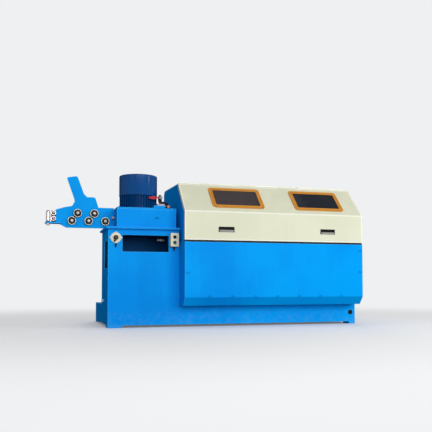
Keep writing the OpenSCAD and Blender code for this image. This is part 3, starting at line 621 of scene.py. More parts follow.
def pick_faces(piece: Object, test: Callable[[Vector, Vector], bool]) -> int:
    """Select the faces whose middle and normal pass a test.

    Args:
        piece: The object.
        test: Takes a face's middle and its normal.

    Returns:
        The number of faces picked.
    """
    with editing(piece):
        bpy.ops.mesh.select_mode(type="FACE")
        bpy.ops.mesh.select_all(action="DESELECT")
    picked = 0
    for face in piece.data.polygons:
        face.select = test(face.center, face.normal)
        picked += face.select
    return picked


def smooth(piece: Object, angle: float = 35.0) -> Object:
    """Shade a piece smooth, apart from edges sharper than an angle in degrees, and hand it back."""
    focus(piece)
    bpy.ops.object.shade_smooth_by_angle(angle=math.radians(angle))
    return piece


def settle(piece: Object, name: str, place: Matrix = Matrix()) -> Object:
    """Move a piece to its place, apply it to the mesh and name the piece.

    Args:
        piece: The object, at the origin.
        name: Its new name.
        place: Where it goes.

    Returns:
        The same object.
    """
    focus(piece)
    piece.matrix_world = place
    bpy.context.view_layer.update()
    bpy.ops.object.transform_apply(location=True, rotation=True, scale=True)
    piece.name = piece.data.name = name
    return piece


def mate(piece: Object, body: str, finish: Finish, *nodes: str) -> Object:
    """Give a finished piece its finish and its body, and hide the CAD nodes that it stands for."""
    finish.dress(piece)
    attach(piece, body)
    if nodes:
        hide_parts(*nodes)
    return piece


def joined(pieces: list[Object], name: str) -> Object:
    """Join pieces into one object.

    Args:
        pieces: The objects, with their places in their meshes.
        name: Name of the joined object.

    Returns:
        The joined object.
    """
    focus(pieces[0])
    for piece in pieces[1:]:
        piece.select_set(True)
    if len(pieces) > 1:
        bpy.ops.object.join()
    pieces[0].name = pieces[0].data.name = name
    return pieces[0]


def copies(pattern: Object, places: Iterable[Matrix], name: str) -> Object:
    """Copy a piece to several places, join the copies and remove the pattern.

    Args:
        pattern: The piece, modelled at the origin along +Z.
        places: Where the copies go.
        name: Name of the joined copies.

    Returns:
        The joined copies.
    """
    made = []
    for place in places:
        twin = bpy.data.objects.new(name, pattern.data.copy())
        bpy.context.scene.collection.objects.link(twin)
        made.append(settle(twin, name, place))
    bpy.data.objects.remove(pattern)
    return joined(made, name)


def block(size: Vector, centre: Vector = Vector()) -> Object:
    """A box of a given size and middle, to be shaped further."""
    clear_bench()
    bpy.ops.mesh.primitive_cube_add(size=1, location=(0, 0, 0))
    return settle(bpy.context.object, "block", Matrix.Translation(centre) @ Matrix.Diagonal((*size, 1)))


def evened(piece: Object) -> Object:
    """Keep the flat faces of a rounded piece flat in their shading."""
    focus(piece)
    even = piece.modifiers.new("even", "WEIGHTED_NORMAL")
    even.keep_sharp = True
    bpy.ops.object.modifier_apply(modifier=even.name)
    return piece


def bevelled(piece: Object, width: float, segments: int = 2, angle: float = 30.0) -> Object:
    """Round the sharp edges of a piece.

    Args:
        piece: The object.
        width: Width of the rounding, in metres.
        segments: Number of its faces.
        angle: Edges sharper than this many degrees are rounded.

    Returns:
        The same object.
    """
    focus(piece)
    rounding = piece.modifiers.new("rounding", "BEVEL")
    rounding.width = width
    rounding.segments = segments
    rounding.limit_method = "ANGLE"
    rounding.angle_limit = math.radians(angle)
    rounding.use_clamp_overlap = True
    bpy.ops.object.modifier_apply(modifier=rounding.name)
    return evened(smooth(piece, 40.0))


def turned(profile: Profile, steps: int = 48, angle: float = 35.0) -> Object:
    """Turn a profile round the Z axis, as on a lathe.

    Args:
        profile: Radius and height of its points. It starts and ends on the axis, or at the same point.
        steps: Number of faces round the axis.
        angle: Edges sharper than this many degrees stay crisp.

    Returns:
        The turned piece, standing at the origin.
    """
    clear_bench()
    bpy.ops.mesh.primitive_plane_add(size=0.01, location=(0, 0, 0))
    piece = bpy.context.object
    start = Vector((profile[0][0], 0, profile[0][1]))
    with editing(piece):
        bpy.ops.mesh.select_mode(type="VERT")
        bpy.ops.mesh.merge(type="CENTER")
        bpy.ops.transform.translate(value=start)
        for (r0, z0), (r1, z1) in zip(profile, profile[1:]):
            bpy.ops.mesh.extrude_vertices_move(TRANSFORM_OT_translate={"value": (r1 - r0, 0, z1 - z0)})
        bpy.ops.mesh.select_all(action="SELECT")
        bpy.ops.mesh.spin(steps=steps, angle=2 * math.pi, center=(0, 0, 0), axis=(0, 0, 1))
        bpy.ops.mesh.select_all(action="SELECT")
        bpy.ops.mesh.remove_doubles(threshold=1e-6)
        bpy.ops.mesh.normals_make_consistent(inside=False)
    return smooth(piece, angle)


def corner(radius: float, centre: tuple[float, float], first: float, last: float, steps: int = 5) -> Profile:
    """Points of a round corner in a profile.

    Args:
        radius: Radius of the corner.
        centre: Radius and height of its middle.
        first: Angle of its first point, in degrees.
        last: Angle of its last point, in degrees.
        steps: Number of its faces.

    Returns:
        The points.
    """
    turns = (math.radians(first + (last - first) * i / steps) for i in range(steps + 1))
    return [(centre[0] + radius * math.cos(t), centre[1] + radius * math.sin(t)) for t in turns]


def softened(node: str, finish: Finish, width: float, segments: int = 2, angle: float = 30.0) -> Object:
    """Stand a copy of a CAD node, with rounded edges, in its place.

    Args:
        node: Name of the node.
        finish: Finish of the copy.
        width: Width of the rounding, in metres.
        segments: Number of faces of the rounding.
        angle: Edges sharper than this many degrees are rounded.

    Returns:
        The copy.
    """
    piece = bpy.data.objects.new(f"{node}_dressed", frame["nodes"][node].data.copy())
    bpy.context.scene.collection.objects.link(piece)
    with editing(piece):
        bpy.ops.mesh.remove_doubles(threshold=1e-5)
        bpy.ops.mesh.dissolve_limited(angle_limit=math.radians(0.4))
    bevelled(piece, width, segments, angle)
    return mate(piece, body_of(node), finish, node)


def body_of(node: str) -> str:
    """Name of the body that a node rides on."""
    bodies = frame["record"]["behaviour"]["bodies"]
    return next(body for body, nodes in bodies.items() if node in nodes)


def middle(node: str) -> Vector:
    """Middle of a node's box."""
    low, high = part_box(node)
    return (low + high) / 2


@dataclass(frozen=True)
class HexBolt:
    """A hex head on a washer, modelled along +Z from its seat."""

    across: float = 0.019
    head: float = 0.008
    washer: float = 0.0025
    washer_r: float = 0.0148

    def model(self) -> Object:
        """Model the bolt head and its washer."""
        clear_bench()
        bpy.ops.mesh.primitive_cylinder_add(vertices=6, radius=self.across / math.sqrt(3), depth=self.head,
                                            location=(0, 0, 0))
        head = settle(bpy.context.object, "bolt_head", Matrix.Translation((0, 0, self.washer + self.head / 2)))
        pick_faces(head, lambda at, normal: normal.z > 0.9)
        with editing(head, everything=False):
            bpy.ops.mesh.inset(thickness=self.across * 0.09, depth=self.head * 0.14)
        r, h = self.washer_r, self.washer
        ring = turned([(0, 0), (r, 0), (r, h * 0.7), (r - h * 0.3, h), (0, h)], steps=24)
        return joined([smooth(head), ring], "bolt")


@dataclass(frozen=True)
class SocketScrew:
    """A cylinder head with a sunk round socket, modelled along +Z from its seat."""

    radius: float = 0.0065
    head: float = 0.006

    def model(self) -> Object:
        """Model the screw's head."""
        r, h = self.radius, self.head
        edge = r * 0.12
        return turned([(0, 0), (r, 0), (r, h - edge), (r - edge, h), (r * 0.55, h), (r * 0.5, h * 0.4),
                       (0, h * 0.4)], steps=18)


@dataclass
class Base:
    """Floor pads, closed lower base, cabinet sheets, table plate and the coupling under it."""

    edge: float = 0.0022
    table_edge: float = 0.0035
    grommet_body: float = 0.0195
    grommet_out: float = 0.0225
    membrane: float = 0.003
    grommet_depth: float = 0.012
    disc_depth: float = 0.016
    hub_r: float = 0.019
    hub_top: float = 0.036
    shaft_r: float = 0.014
    bolt_ring: float = 0.028
    boss_back: float = 0.243
    boss_z: float = 0.223

    def build(self) -> None:
        """Build and dress the base."""
        for node in ("foot_pads", "plinth"):
            softened(node, BLUE, self.edge)
        # The cabinet sheets take painted shade on their inner sides.
        for node, axis, inward in (("cabinet_back", "Y", -1.0), ("front_panel", "Y", 1.0),
                                   ("left_panel", "X", 1.0)):
            inside_shaded = InnerShadedEnamel(f"{node}_enamel", BLUE.slot, BLUE.colour, BLUE.deep, BLUE.light, BLUE.bare,
                                axis=axis, inward=inward)
            softened(node, inside_shaded, self.edge)
        softened("table", BLUE, self.table_edge, 3)
        self.coupling()
        self.grommet()
        self.earth_screw()

    def coupling(self) -> None:
        """Turn the coupling's disc, its hub and the shaft up to the gearbox."""
        low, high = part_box("drive_coupling")
        at = middle("drive_coupling")
        r, t, e = (high.x - low.x) / 2, self.disc_depth, 0.002
        tall = high.z - low.z
        place = Matrix.Translation((at.x, at.y, low.z))
        disc = turned([(0, 0), (r - e, 0), (r, e), (r, t * 0.42), (r - e, t * 0.46), (r - e, t * 0.54),
                       (r, t * 0.58), (r, t - e), (r - e, t), (0, t)], 56)
        mate(settle(disc, "coupling_disc", place), "base", ZINC, "drive_coupling")
        shaft = turned([(0, t), (self.hub_r, t), (self.hub_r, self.hub_top - e), (self.hub_r - e, self.hub_top),
                        (self.shaft_r, self.hub_top), (self.shaft_r, tall), (0, tall)])
        mate(settle(shaft, "coupling_shaft", place), "base", DARK_STEEL)
        turns = (Matrix.Rotation(math.pi / 2 * i, 4, "Z") for i in range(4))
        places = [place @ turn @ Matrix.Translation((self.bolt_ring, 0, t)) for turn in turns]
        bolts = copies(HexBolt(0.008, 0.005, 0.001, 0.0065).model(), places, "coupling_bolts")
        mate(bolts, "base", DARK_STEEL)

    def grommet(self) -> None:
        """Seat a rubber grommet in the cable hole of the base."""
        mount = next(m for m in frame["record"]["mounts"] if m["name"] == "cable_entry")
        body, outer, depth = self.grommet_body, self.grommet_out, self.grommet_depth
        lip = 0.003
        profile = [(0, -depth), (body, -depth), (body, -0.001), *corner(lip, (outer - lip, 0.002), -90, 90),
                   (outer - 2 * lip, self.membrane), (outer - 2.6 * lip, -0.001), (0, -0.002)]
        at = Vector(mount["pos_m"])
        at.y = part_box("front_panel")[0].y
        mate(settle(turned(profile, 40), "cable_grommet", Heading.FRONT.place(at)), "base", BLACK)

    def earth_screw(self) -> None:
        """Screw an earthing bolt into the boss on the left end."""
        at = Vector((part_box("left_panel")[0].x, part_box("front_panel")[0].y + self.boss_back, self.boss_z))
        bolt = settle(HexBolt(0.020, 0.011, 0.002, 0.0135).model(), "earth_screw", Heading.LEFT.place(at))
        mate(bolt, "base", BRIGHT_ZINC)


@dataclass
class FeedGear:
    """The feed gearbox with the screws of its lid and the bushes of the wire line."""

    edge: float = 0.004
    screw_in: float = 0.016
    along: int = 6
    across: int = 5
    pad_from: float = 0.303
    pad_to: float = 0.418
    rub_mark: tuple[float, float, float] = (-0.742, -0.51, 0.924)

    def build(self) -> None:
        """Build and dress the gearbox."""
        paint = MarkedEnamel("gearbox_enamel", BLUE.slot, BLUE.colour, BLUE.deep, BLUE.light, BLUE.bare,
                             mark=self.rub_mark)
        softened("gearbox", paint, self.edge, 3)
        softened("wire_guides", STEEL, 0.0012)
        self.lid_screws()

    def lid_screws(self) -> None:
        """Screw the lid down along its four edges, apart from where the raised pad lies."""
        low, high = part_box("gearbox")
        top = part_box("motor_body")[0].z
        left, right = low.x + self.screw_in, high.x - self.screw_in
        front, back = low.y + self.screw_in, high.y - self.screw_in
        spots = []
        for i in range(self.along):
            x = left + (right - left) * i / (self.along - 1)
            rows = (back,) if self.pad_from < x - low.x < self.pad_to else (front, back)
            spots += [(x, y) for y in rows]
        for i in range(1, self.across - 1):
            spots += [(x, front + (back - front) * i / (self.across - 1)) for x in (left, right)]
        places = [Heading.UP.place(Vector((x, y, top))) for x, y in spots]
        mate(copies(SocketScrew().model(), places, "lid_screws"), "base", DARK_STEEL)


@dataclass
class Motor:
    """The upright motor: finned body, turned fan cowl with its grille, and terminal box."""

    wall: float = 0.003
    edge: float = 0.010
    grille_out: float = 0.130
    ring_pitch: float = 0.016
    ring_width: float = 0.009
    rib_count: int = 8
    hub: float = 0.040
    cowl_screws: int = 4
    screw_up: float = 0.014
    lid: float = 0.003

    def build(self) -> None:
        """Build and dress the motor."""
        # The finned body wears the darker copy of the motor paint, as painted shade among its fins.
        softened("motor_body", MOTOR_BODY_SHADED, 0.0008, 1, 40.0)
        softened("terminal_box", MOTOR, 0.004, 3)
        self.cowl()
        self.terminal_lid()

    def cowl(self) -> None:
        """Turn the fan cowl, set its grille in the top and its screws round the foot."""
        low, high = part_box("motor_cowl")
        at = middle("motor_cowl")
        place = Matrix.Translation((at.x, at.y, low.z))
        r, h = (high.x - low.x) / 2, high.z - low.z
        e, w, skirt = self.edge, self.wall, 0.0012
        outer = [(r - 0.001, 0), (r, 0.001), (r, 0.004), (r - skirt, 0.006), (r - skirt, h - e),
                 *corner(e - skirt, (r - e, h - e), 0, 90, 8), (self.grille_out, h - skirt)]
        inner = [(self.grille_out, h - skirt - w), *corner(e - skirt - w, (r - e, h - e), 90, 0, 8),
                 (r - w - skirt, 0), (r - 0.001, 0)]
        pieces = [turned(outer + inner, 96)]
        top = h - skirt
        ring = self.grille_out - self.ring_pitch
        while ring > self.hub + self.ring_width:
            pieces.append(turned([(ring, top), (ring, top - w), (ring - self.ring_width, top - w),
                                  (ring - self.ring_width, top), (ring, top)], 72))
            ring -= self.ring_pitch
        pieces.append(turned([(0, top), (self.hub, top), (self.hub, top - w), (0, top - w)], 48))
        rib = bevelled(block(Vector((self.grille_out - self.hub + 0.004, 0.006, w)),
                             Vector(((self.grille_out + self.hub) / 2, 0, top - w * 1.5))), 0.0006, 1)
        turns = (Matrix.Rotation(2 * math.pi * i / self.rib_count, 4, "Z") for i in range(self.rib_count))
        pieces.append(copies(rib, turns, "rib"))
        mate(settle(joined(pieces, "cowl"), "fan_cowl", place), "base", MOTOR, "motor_cowl")
        fan = turned([(0, h - 0.02), (0.02, h - 0.02), (0.024, h - 0.03), (r - 0.012, h - 0.05),
                      (r - 0.012, h - 0.055), (0, h - 0.055)], 64)
        mate(settle(fan, "fan_disc", place), "base", BLACK)
        turns = (Matrix.Rotation(math.pi / 4 + 2 * math.pi * i / self.cowl_screws, 4, "Z")
                 for i in range(self.cowl_screws))
        out = Heading.RIGHT.place(Vector((r - skirt, 0, self.screw_up)))
        places = [place @ turn @ out for turn in turns]
        mate(copies(SocketScrew(0.0045, 0.003).model(), places, "cowl_screws"), "base", DARK_STEEL)

    def terminal_lid(self) -> None:
        """Screw a lid on the back of the terminal box and a gland into its side."""
        low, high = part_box("terminal_box")
        at = middle("terminal_box")
        size = Vector((high.x - low.x + self.lid, self.lid * 2, high.z - low.z + self.lid))
        lid = bevelled(block(size, Vector((at.x, high.y, at.z))), 0.0015)
        mate(settle(lid, "terminal_lid"), "base", MOTOR)
        inset = 0.012
        places = [Heading.BACK.place(Vector((x, high.y + self.lid, z)))
                  for x in (low.x + inset, high.x - inset) for z in (low.z + inset, high.z - inset)]
        mate(copies(SocketScrew(0.0045, 0.003).model(), places, "terminal_screws"), "base", STEEL)
        gland = turned([(0, -0.002), (0.014, -0.002), (0.014, 0.009), (0.0115, 0.011), *corner(
            0.004, (0.0075, 0.020), 0, 90), (0.005, 0.024), (0.005, 0.016), (0, 0.016)], 32)
        side = Vector((high.x, high.y - 0.035, at.z))
        mate(settle(gland, "terminal_gland", Heading.RIGHT.place(side)), "base", BLACK)


@dataclass
class StraighteningArm:
    """The arm plate with its grooved rollers, their hex-headed pins and the guide rollers at its tip."""

    edge: float = 0.003
    neck: float = 0.009
    pin_head: HexBolt = HexBolt(0.023, 0.010, 0.002, 0.0130)
    pin_nut: HexBolt = HexBolt(0.024, 0.009, 0.001, 0.0145)
    guide_nut: HexBolt = HexBolt(0.024, 0.0115, 0.001, 0.0135)
    guide_head: HexBolt = HexBolt(0.014, 0.006, 0.0015, 0.0085)
    foot_bolt: HexBolt = HexBolt(0.019, 0.008, 0.0025, 0.0148)
    ring_in: float = 0.0305
    hub_in: float = 0.0092
    hub_out: float = 0.014
    groove: float = 0.0035
    chamfer: float = 0.0015
    shield_sink: float = 0.0025
    sleeve_in: float = 0.0075
    bar_depth: float = 0.010
    nut_depth: float = 0.012
    bar_skin: float = 0.0004
    head_gap: float = 0.007
    foot_top: float = 0.014
    foot_middle: float = 0.046

    LOWER = ("roller_lower_left", "roller_lower_middle", "roller_lower_right")
    UPPER = ("roller_upper_left", "roller_upper_right")
    UPRIGHT = ("upright_roller_front", "upright_roller_back")
    FLAT = ("flat_roller_top", "flat_roller_bottom")

    def build(self) -> None:
        """Build and dress the arm."""
        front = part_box("arm_plate")[0].y
        # The floors of the arm's slots take painted shade.
        paint = SlotShadedEnamel("arm_enamel", BLUE.slot, BLUE.colour, BLUE.deep, BLUE.light, BLUE.bare,
                              sunk_from=front + self.neck)
        softened("arm_plate", paint, self.edge, 3)
        for node in ("guide_bracket", "roller_pins", "slider_left", "slider_right"):
            softened(node, DARK_STEEL, 0.0010, 1)
        for node in self.LOWER + self.UPPER:
            self.roller(node)
        self.pin_heads("lower", self.LOWER, "base")
        self.pin_heads("upper_left", self.UPPER[:1], "slider_left")
        self.pin_heads("upper_right", self.UPPER[1:], "slider_right")
        for node in self.UPRIGHT + self.FLAT:
            self.guide_roller(node)
        self.bracket()
        self.back_fasteners()

    def roller(self, node: str) -> None:
        """Turn one grooved roller with its sunk dark shields."""
        low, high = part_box(node)
        at = middle(node)
        r, half = (high.x - low.x) / 2, (high.y - low.y) / 2
        c, g, inner, bore, hub_r = self.chamfer, self.groove, self.ring_in, self.hub_in, self.hub_out
        ring = [(inner, -half), (r - c, -half), (r, -half + c), (r, -g), (r - g, 0), (r, g), (r, half - c),
                (r - c, half), (inner, half), (inner, -half)]
        e = 0.001
        hub = [(bore, -half), (hub_r - e, -half), (hub_r, -half + e), (hub_r, half - e), (hub_r - e, half),
               (bore, half), (bore, -half)]
        s = half - self.shield_sink
        lap = 0.0005
        shield = [(hub_r - lap, -s), (inner + lap, -s), (inner + lap, s), (hub_r - lap, s), (hub_r - lap, -s)]
        place = Heading.BACK.place(at)
        steel = joined([turned(ring, 64), turned(hub, 40)], "ring")
        tone = Turned(f"turned_{node}", "machined_steel", screen(140, 138, 122), tuple(at))
        mate(settle(steel, f"{node}_rings", place), body_of(node), tone, node)
        mate(settle(turned(shield, 40), f"{node}_shields", place), body_of(node), BLACK)

    def pin_heads(self, name: str, rollers: tuple[str, ...], body: str) -> None:
        """Put a hex head on the front of each roller's pin."""
        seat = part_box("roller_pins")[0].y + 0.001
        places = [Heading.FRONT.place(Vector((middle(n).x, seat, middle(n).z))) for n in rollers]
        mate(copies(self.pin_head.model(), places, f"pin_heads_{name}"), body, STEEL)

    def guide_roller(self, node: str) -> None:
        """Turn one plain guide roller with its dark end caps."""
        low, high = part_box(node)
        size = high - low
        upright = node in self.UPRIGHT
        heading = Heading.UP if upright else Heading.BACK
        r, half = size.x / 2, (size.z if upright else size.y) / 2
        cap = 0.003 if upright else 0.002
        bore, e, rim = self.sleeve_in, 0.001, r - (0.002 if upright else 0.0045)
        sleeve = [(bore, -half + cap), (r - e, -half + cap), (r, -half + cap + e), (r, half - cap - e),
                  (r - e, half - cap), (bore, half - cap), (bore, -half + cap)]
        ends = [turned([(bore, side * (half - cap)), (rim, side * (half - cap)), (rim, side * (half - e)),
                        (rim - e, side * half), (bore, side * half), (bore, side * (half - cap))], 40)
                for side in (-1, 1)]
        place = heading.place(middle(node))
        tone = Turned(f"turned_{node}", "machined_steel", screen(196, 180, 178), tuple(middle(node)),
                      "Z" if upright else "Y", stain=0.2)
        mate(settle(turned(sleeve, 48), f"{node}_sleeve", place), body_of(node), tone, node)
        mate(settle(joined(ends, "caps"), f"{node}_caps", place), body_of(node), DARK_STEEL)

    def bracket(self) -> None:
        """Lay the painted bar over the bracket's own, with the nuts of the guide rollers' pins."""
        low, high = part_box("guide_bracket")
        bottom = low.z + self.nut_depth
        skin = Vector((1, 1, 1)) * self.bar_skin
        size = Vector((high.x - low.x, high.y - low.y, self.bar_depth)) + skin * 2
        centre = Vector(((low.x + high.x) / 2, (low.y + high.y) / 2, bottom + self.bar_depth / 2))
        mate(settle(bevelled(block(size, centre), 0.0015), "bracket_bar"), "base", BLUE)
        places = [Heading.DOWN.place(Vector((middle(n).x, middle(n).y, bottom))) for n in self.UPRIGHT]
        mate(copies(self.guide_nut.model(), places, "guide_nuts"), "base", STEEL)
        places = [Heading.FRONT.place(Vector((middle(n).x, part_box(n)[0].y - self.head_gap, middle(n).z)))
                  for n in self.FLAT]
        mate(copies(self.guide_head.model(), places, "guide_heads"), "base", STEEL)

    def back_fasteners(self) -> None:
        """Put the nuts on the lower pins' rear ends and the bolts on the arm's foot."""
        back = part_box("roller_pins")[1].y
        places = [Heading.BACK.place(Vector((middle(n).x, back, middle(n).z))) for n in self.LOWER]
        mate(copies(self.pin_nut.model(), places, "pin_nuts"), "base", STEEL)
        table_low, table_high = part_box("table")
        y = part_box("arm_plate")[0].y + self.neck + self.foot_middle
        xs = (table_low.x + 0.022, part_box("gearbox")[0].x - 0.028)
        places = [Heading.UP.place(Vector((x, y, table_high.z + self.foot_top))) for x in xs]
        mate(copies(self.foot_bolt.model(), places, "arm_foot_bolts"), "base", DARK_STEEL)


@dataclass
class Controls:
    """The rotary switch and the push-button box on the cabinet's front."""

    lug_r: float = 0.0085
    lug_reach: float = 0.0445
    lug_depth: float = 0.006
    knob_turn: float = 20.0
    bezel_in: float = 0.0138
    bezel_width: float = 0.0035
    gland_tall: float = 0.022
    gland_long: float = 0.012
    screw_in: float = 0.009
    band_back: float = 0.018

    def build(self) -> None:
        """Build and dress the controls."""
        softened("switch_plate", CREAM_PLASTIC, 0.0015)
        softened("switch_knob", BLACK, 0.002, 3)
        softened("button_box", CREAM_PLASTIC, 0.004, 3)
        self.buttons()
        self.knob_details()
        self.glands()
        self.box_seal()
        self.screws()

    def switch_centre(self) -> Vector:
        """Middle of the rotary switch on the plate's front."""
        low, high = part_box("switch_plate")
        return Vector((middle("switch_plate").x, low.y, high.z - (high.x - low.x) / 2))

    def buttons(self) -> None:
        """Turn the two push buttons and the bezels round them."""
        for node, finish in (("button_upper", BLACK), ("button_lower", GREEN_PLASTIC)):
            low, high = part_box(node)
            r, depth = (high.x - low.x) / 2, high.y - low.y
            e = 0.003
            cap = [(0, 0), (r - 0.001, 0), (r, 0.001), (r, depth - e), *corner(e, (r - e, depth - e), 0, 90, 4),
                   (r * 0.6, depth - 0.001), (0, depth - 0.0018)]
            at = Vector((middle(node).x, high.y, middle(node).z))
            mate(settle(turned(cap, 40), f"{node}_cap", Heading.FRONT.place(at)), node, finish, node)
        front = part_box("button_box")[0].y
        r, w = self.bezel_in, self.bezel_width
        bezel = turned([(r, -0.002), (r + w, -0.002), (r + w, 0.002), (r + w - 0.001, 0.003), (r + 0.001, 0.003),
                        (r, 0.002), (r, -0.002)], 40)
        places = [Heading.FRONT.place(Vector((middle(n).x, front, middle(n).z)))
                  for n in ("button_upper", "button_lower")]
        mate(copies(bezel, places, "button_bezels"), "base", ZINC)

    def knob_details(self) -> None:
        """Cap the knob's spindle and inlay the pointer's line."""
        centre = self.switch_centre()
        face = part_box("switch_knob")[0].y
        r = 0.010
        cap = turned([(0, -0.001), (r, -0.001), (r, 0.0015), (r - 0.0015, 0.003), (0, 0.0035)], 32)
        place = Heading.FRONT.place(Vector((centre.x, face, centre.z)))
        mate(settle(cap, "knob_cap", place), "switch_knob", KNOB_BROWN)
        line = bevelled(block(Vector((0.004, 0.002, 0.020)), Vector((0, 0, -0.024))), 0.0006, 1)
        turn = Matrix.Rotation(math.radians(self.knob_turn), 4, "Y")
        place = Matrix.Translation((centre.x, face, centre.z)) @ turn
        mate(settle(line, "knob_line", place), "switch_knob", KNOB_BROWN)

    def glands(self) -> None:
        """Sleeve the two cable glands under the switch and the box."""
        r, tall, long = 0.0080, self.gland_tall, self.gland_long
        gland = turned([(0, -long), (r - 0.003, -long), (r - 0.002, 0.002 - long), (r - 0.002, -0.002),
                        (r - 0.0008, 0), (r - 0.0008, tall * 0.5), (r, tall * 0.52), (r, tall), (0, tall)], 24)
        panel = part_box("front_panel")[0].y
        switch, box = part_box("switch_plate"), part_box("button_box")
        places = [Matrix.Translation((middle("switch_plate").x, panel - 0.006, switch[0].z)),
                  Matrix.Translation((middle("button_box").x, (box[0].y + panel) / 2, box[0].z))]
        mate(copies(gland, places, "cable_glands"), "base", BLACK)

    def box_seal(self) -> None:
        """Show the dark seal between the box and its lid."""
        low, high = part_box("button_box")
        bottom = low.z + self.gland_tall
        size = Vector((high.x - low.x + 0.0012, 0.002, high.z - bottom + 0.0012))
        centre = Vector((middle("button_box").x, low.y + self.band_back, (high.z + bottom) / 2))
        seal = block(size, centre)
        pick_faces(seal, lambda at, normal: abs(normal.y) > 0.9)
        with editing(seal, everything=False):
            bpy.ops.mesh.inset(thickness=0.004)
        mate(settle(bevelled(seal, 0.0006), "box_seal"), "base", BLACK)

    def screws(self) -> None:
        """Fix the switch plate by four round lugs and the box's lid by its corners."""
        centre = self.switch_centre()
        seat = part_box("front_panel")[0].y - self.lug_depth
        sides = [Vector(h.value) for h in (Heading.LEFT, Heading.RIGHT, Heading.UP, Heading.DOWN)]
        places = [Heading.FRONT.place(Vector((centre.x + self.lug_reach * side.x, seat,
                                              centre.z + self.lug_reach * side.z))) for side in sides]
        r, depth, e = self.lug_r, self.lug_depth, 0.001
        lug = turned([(0, 0.0005 - depth), (r, 0.0005 - depth), (r, -e), (r - e, 0), (0, 0)], 32)
        mate(copies(lug, places, "switch_lugs"), "base", CREAM_PLASTIC)
        low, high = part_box("button_box")
        bottom, top = low.z + self.gland_tall + self.screw_in, high.z - self.screw_in
        places += [Heading.FRONT.place(Vector((x, low.y, z)))
                   for x in (low.x + self.screw_in, high.x - self.screw_in) for z in (bottom, top)]
        mate(copies(SocketScrew(0.004, 0.0025).model(), places, "control_screws"), "base", STEEL)


@dataclass
class LubricantValve:
    """Milled block, ball valve, lever and bent pipe on the gearbox."""

    pipe_over: float = 0.022
    pipe_in: float = 0.017
    hub_in: float = 0.013
    collar_down: float = 0.030
    hub: HexBolt = HexBolt(0.020, 0.007, 0.002, 0.0145)
    plug: HexBolt = HexBolt(0.018, 0.006, 0.001, 0.0112)
    collar: HexBolt = HexBolt(0.030, 0.009, 0.002, 0.0172)
    cap_in: float = 0.020
    cap_up: float = 0.025
    cap_r: float = 0.0142
    cap_depth: float = 0.013

    def build(self) -> None:
        """Build and dress the valve."""
        softened("valve_block", ALUMINIUM, 0.0015)
        softened("ball_valve", DARK_STEEL, 0.0012)
        softened("valve_lever", SLEEVE, 0.0025, 3)
        softened("hose_elbow", HOSE, 0.0012)
        self.fittings()
        self.pipe_cap()

    def fittings(self) -> None:
        """Put the nut on the lever's hub, a collar under the ball and a plug in the pipe's top."""
        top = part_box("ball_valve")[1].z
        lever_low, lever_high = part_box("valve_lever")
        x, level = lever_high.x - self.hub_in, top - self.pipe_over
        hub = settle(self.hub.model(), "lever_nut", Heading.FRONT.place(Vector((x, lever_low.y, level))))
        mate(hub, "valve_lever", NICKEL)
        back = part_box("ball_valve")[1].y - self.pipe_in
        for fitting, name, height in ((self.collar, "valve_collar", level - self.collar_down),
                                      (self.plug, "pipe_plug", top)):
            place = Heading.UP.place(Vector((x, back, height)))
            mate(settle(fitting.model(), name, place), "base", DARK_STEEL)

    def pipe_cap(self) -> None:
        """Cap the front of the pipe's fitting."""
        low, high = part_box("hose_elbow")
        r, depth = self.cap_r, self.cap_depth
        cap = turned([(0, -depth), (r, -depth), (r, 0), *corner(0.003, (r - 0.003, 0), 0, 90, 4), (0.004, 0.003),
                      (0.003, 0.0015), (0, 0.0015)], 36)
        at = Vector((high.x - self.cap_in, low.y, low.z + self.cap_up))
        mate(settle(cap, "pipe_cap", Heading.FRONT.place(at)), "base", COPPER)


@dataclass
class Tank:
    """The long tank with the plug welds along its front sheet and a black strip of painted shadow along its rim.
    """

    edge: float = 0.003
    weld_radius: float = 0.011
    weld_wide: float = 1.7
    weld_rise: float = 0.0012
    weld_count: int = 7
    weld_first: float = 0.215
    weld_pitch: float = 0.2015
    weld_up: float = 0.260
    end_inset: float = 0.026
    shadow_strip_tall: float = 0.017
    shadow_strip_gap: float = 0.0008
    shadow_strip_thick: float = 0.010
    band_back: float = 0.001
    shadow_strip_end: float = 0.004
    right_welds: tuple[float, float] = (0.472, 0.660)
    left_weld: float = 0.457

    def build(self) -> None:
        """Build and dress the tank."""
        softened("tank", BLUE, self.edge, 3)
        self.plug_welds()
        self.rim_seal()

    def plug_welds(self) -> None:
        """Set the plug welds that hold the inner frame along the edges of the front sheet."""
        low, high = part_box("tank")
        r, h = self.weld_radius, self.weld_rise
        weld = turned([(0, -0.001), (r, -0.001), (r, 0), (r * 0.8, h), (r * 0.45, h * 0.55), (0, h * 0.4)], 24)
        spots = [(low.x + self.weld_first + i * self.weld_pitch, self.weld_up) for i in range(self.weld_count)]
        spots += [(high.x - self.end_inset, z) for z in self.right_welds]
        spots.append((low.x + self.end_inset, self.left_weld))
        wide = Matrix.Diagonal((self.weld_wide, 1, 1, 1))
        places = [Heading.FRONT.place(Vector((x, low.y, z))) @ wide for x, z in spots]
        # The welds wear the darker copy of the blue, as painted shade.
        mate(copies(weld, places, "plug_welds"), "base", WELD_SHADED_BLUE)

    def rim_seal(self) -> None:
        """Lay a black strip along the tank's front rim, under the cover, as painted shadow in the gap."""
        low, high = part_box("tank")
        cover_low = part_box("cover")[0].z
        bottom, top = cover_low - self.shadow_strip_tall, cover_low - self.shadow_strip_gap
        size = Vector((high.x - low.x - 2 * self.shadow_strip_end, self.shadow_strip_thick, top - bottom))
        centre = Vector(((low.x + high.x) / 2, low.y + self.band_back + self.shadow_strip_thick / 2, (bottom + top) / 2))
        mate(settle(bevelled(block(size, centre), 0.002, 3), "rim_seal"), "base", BLACK)


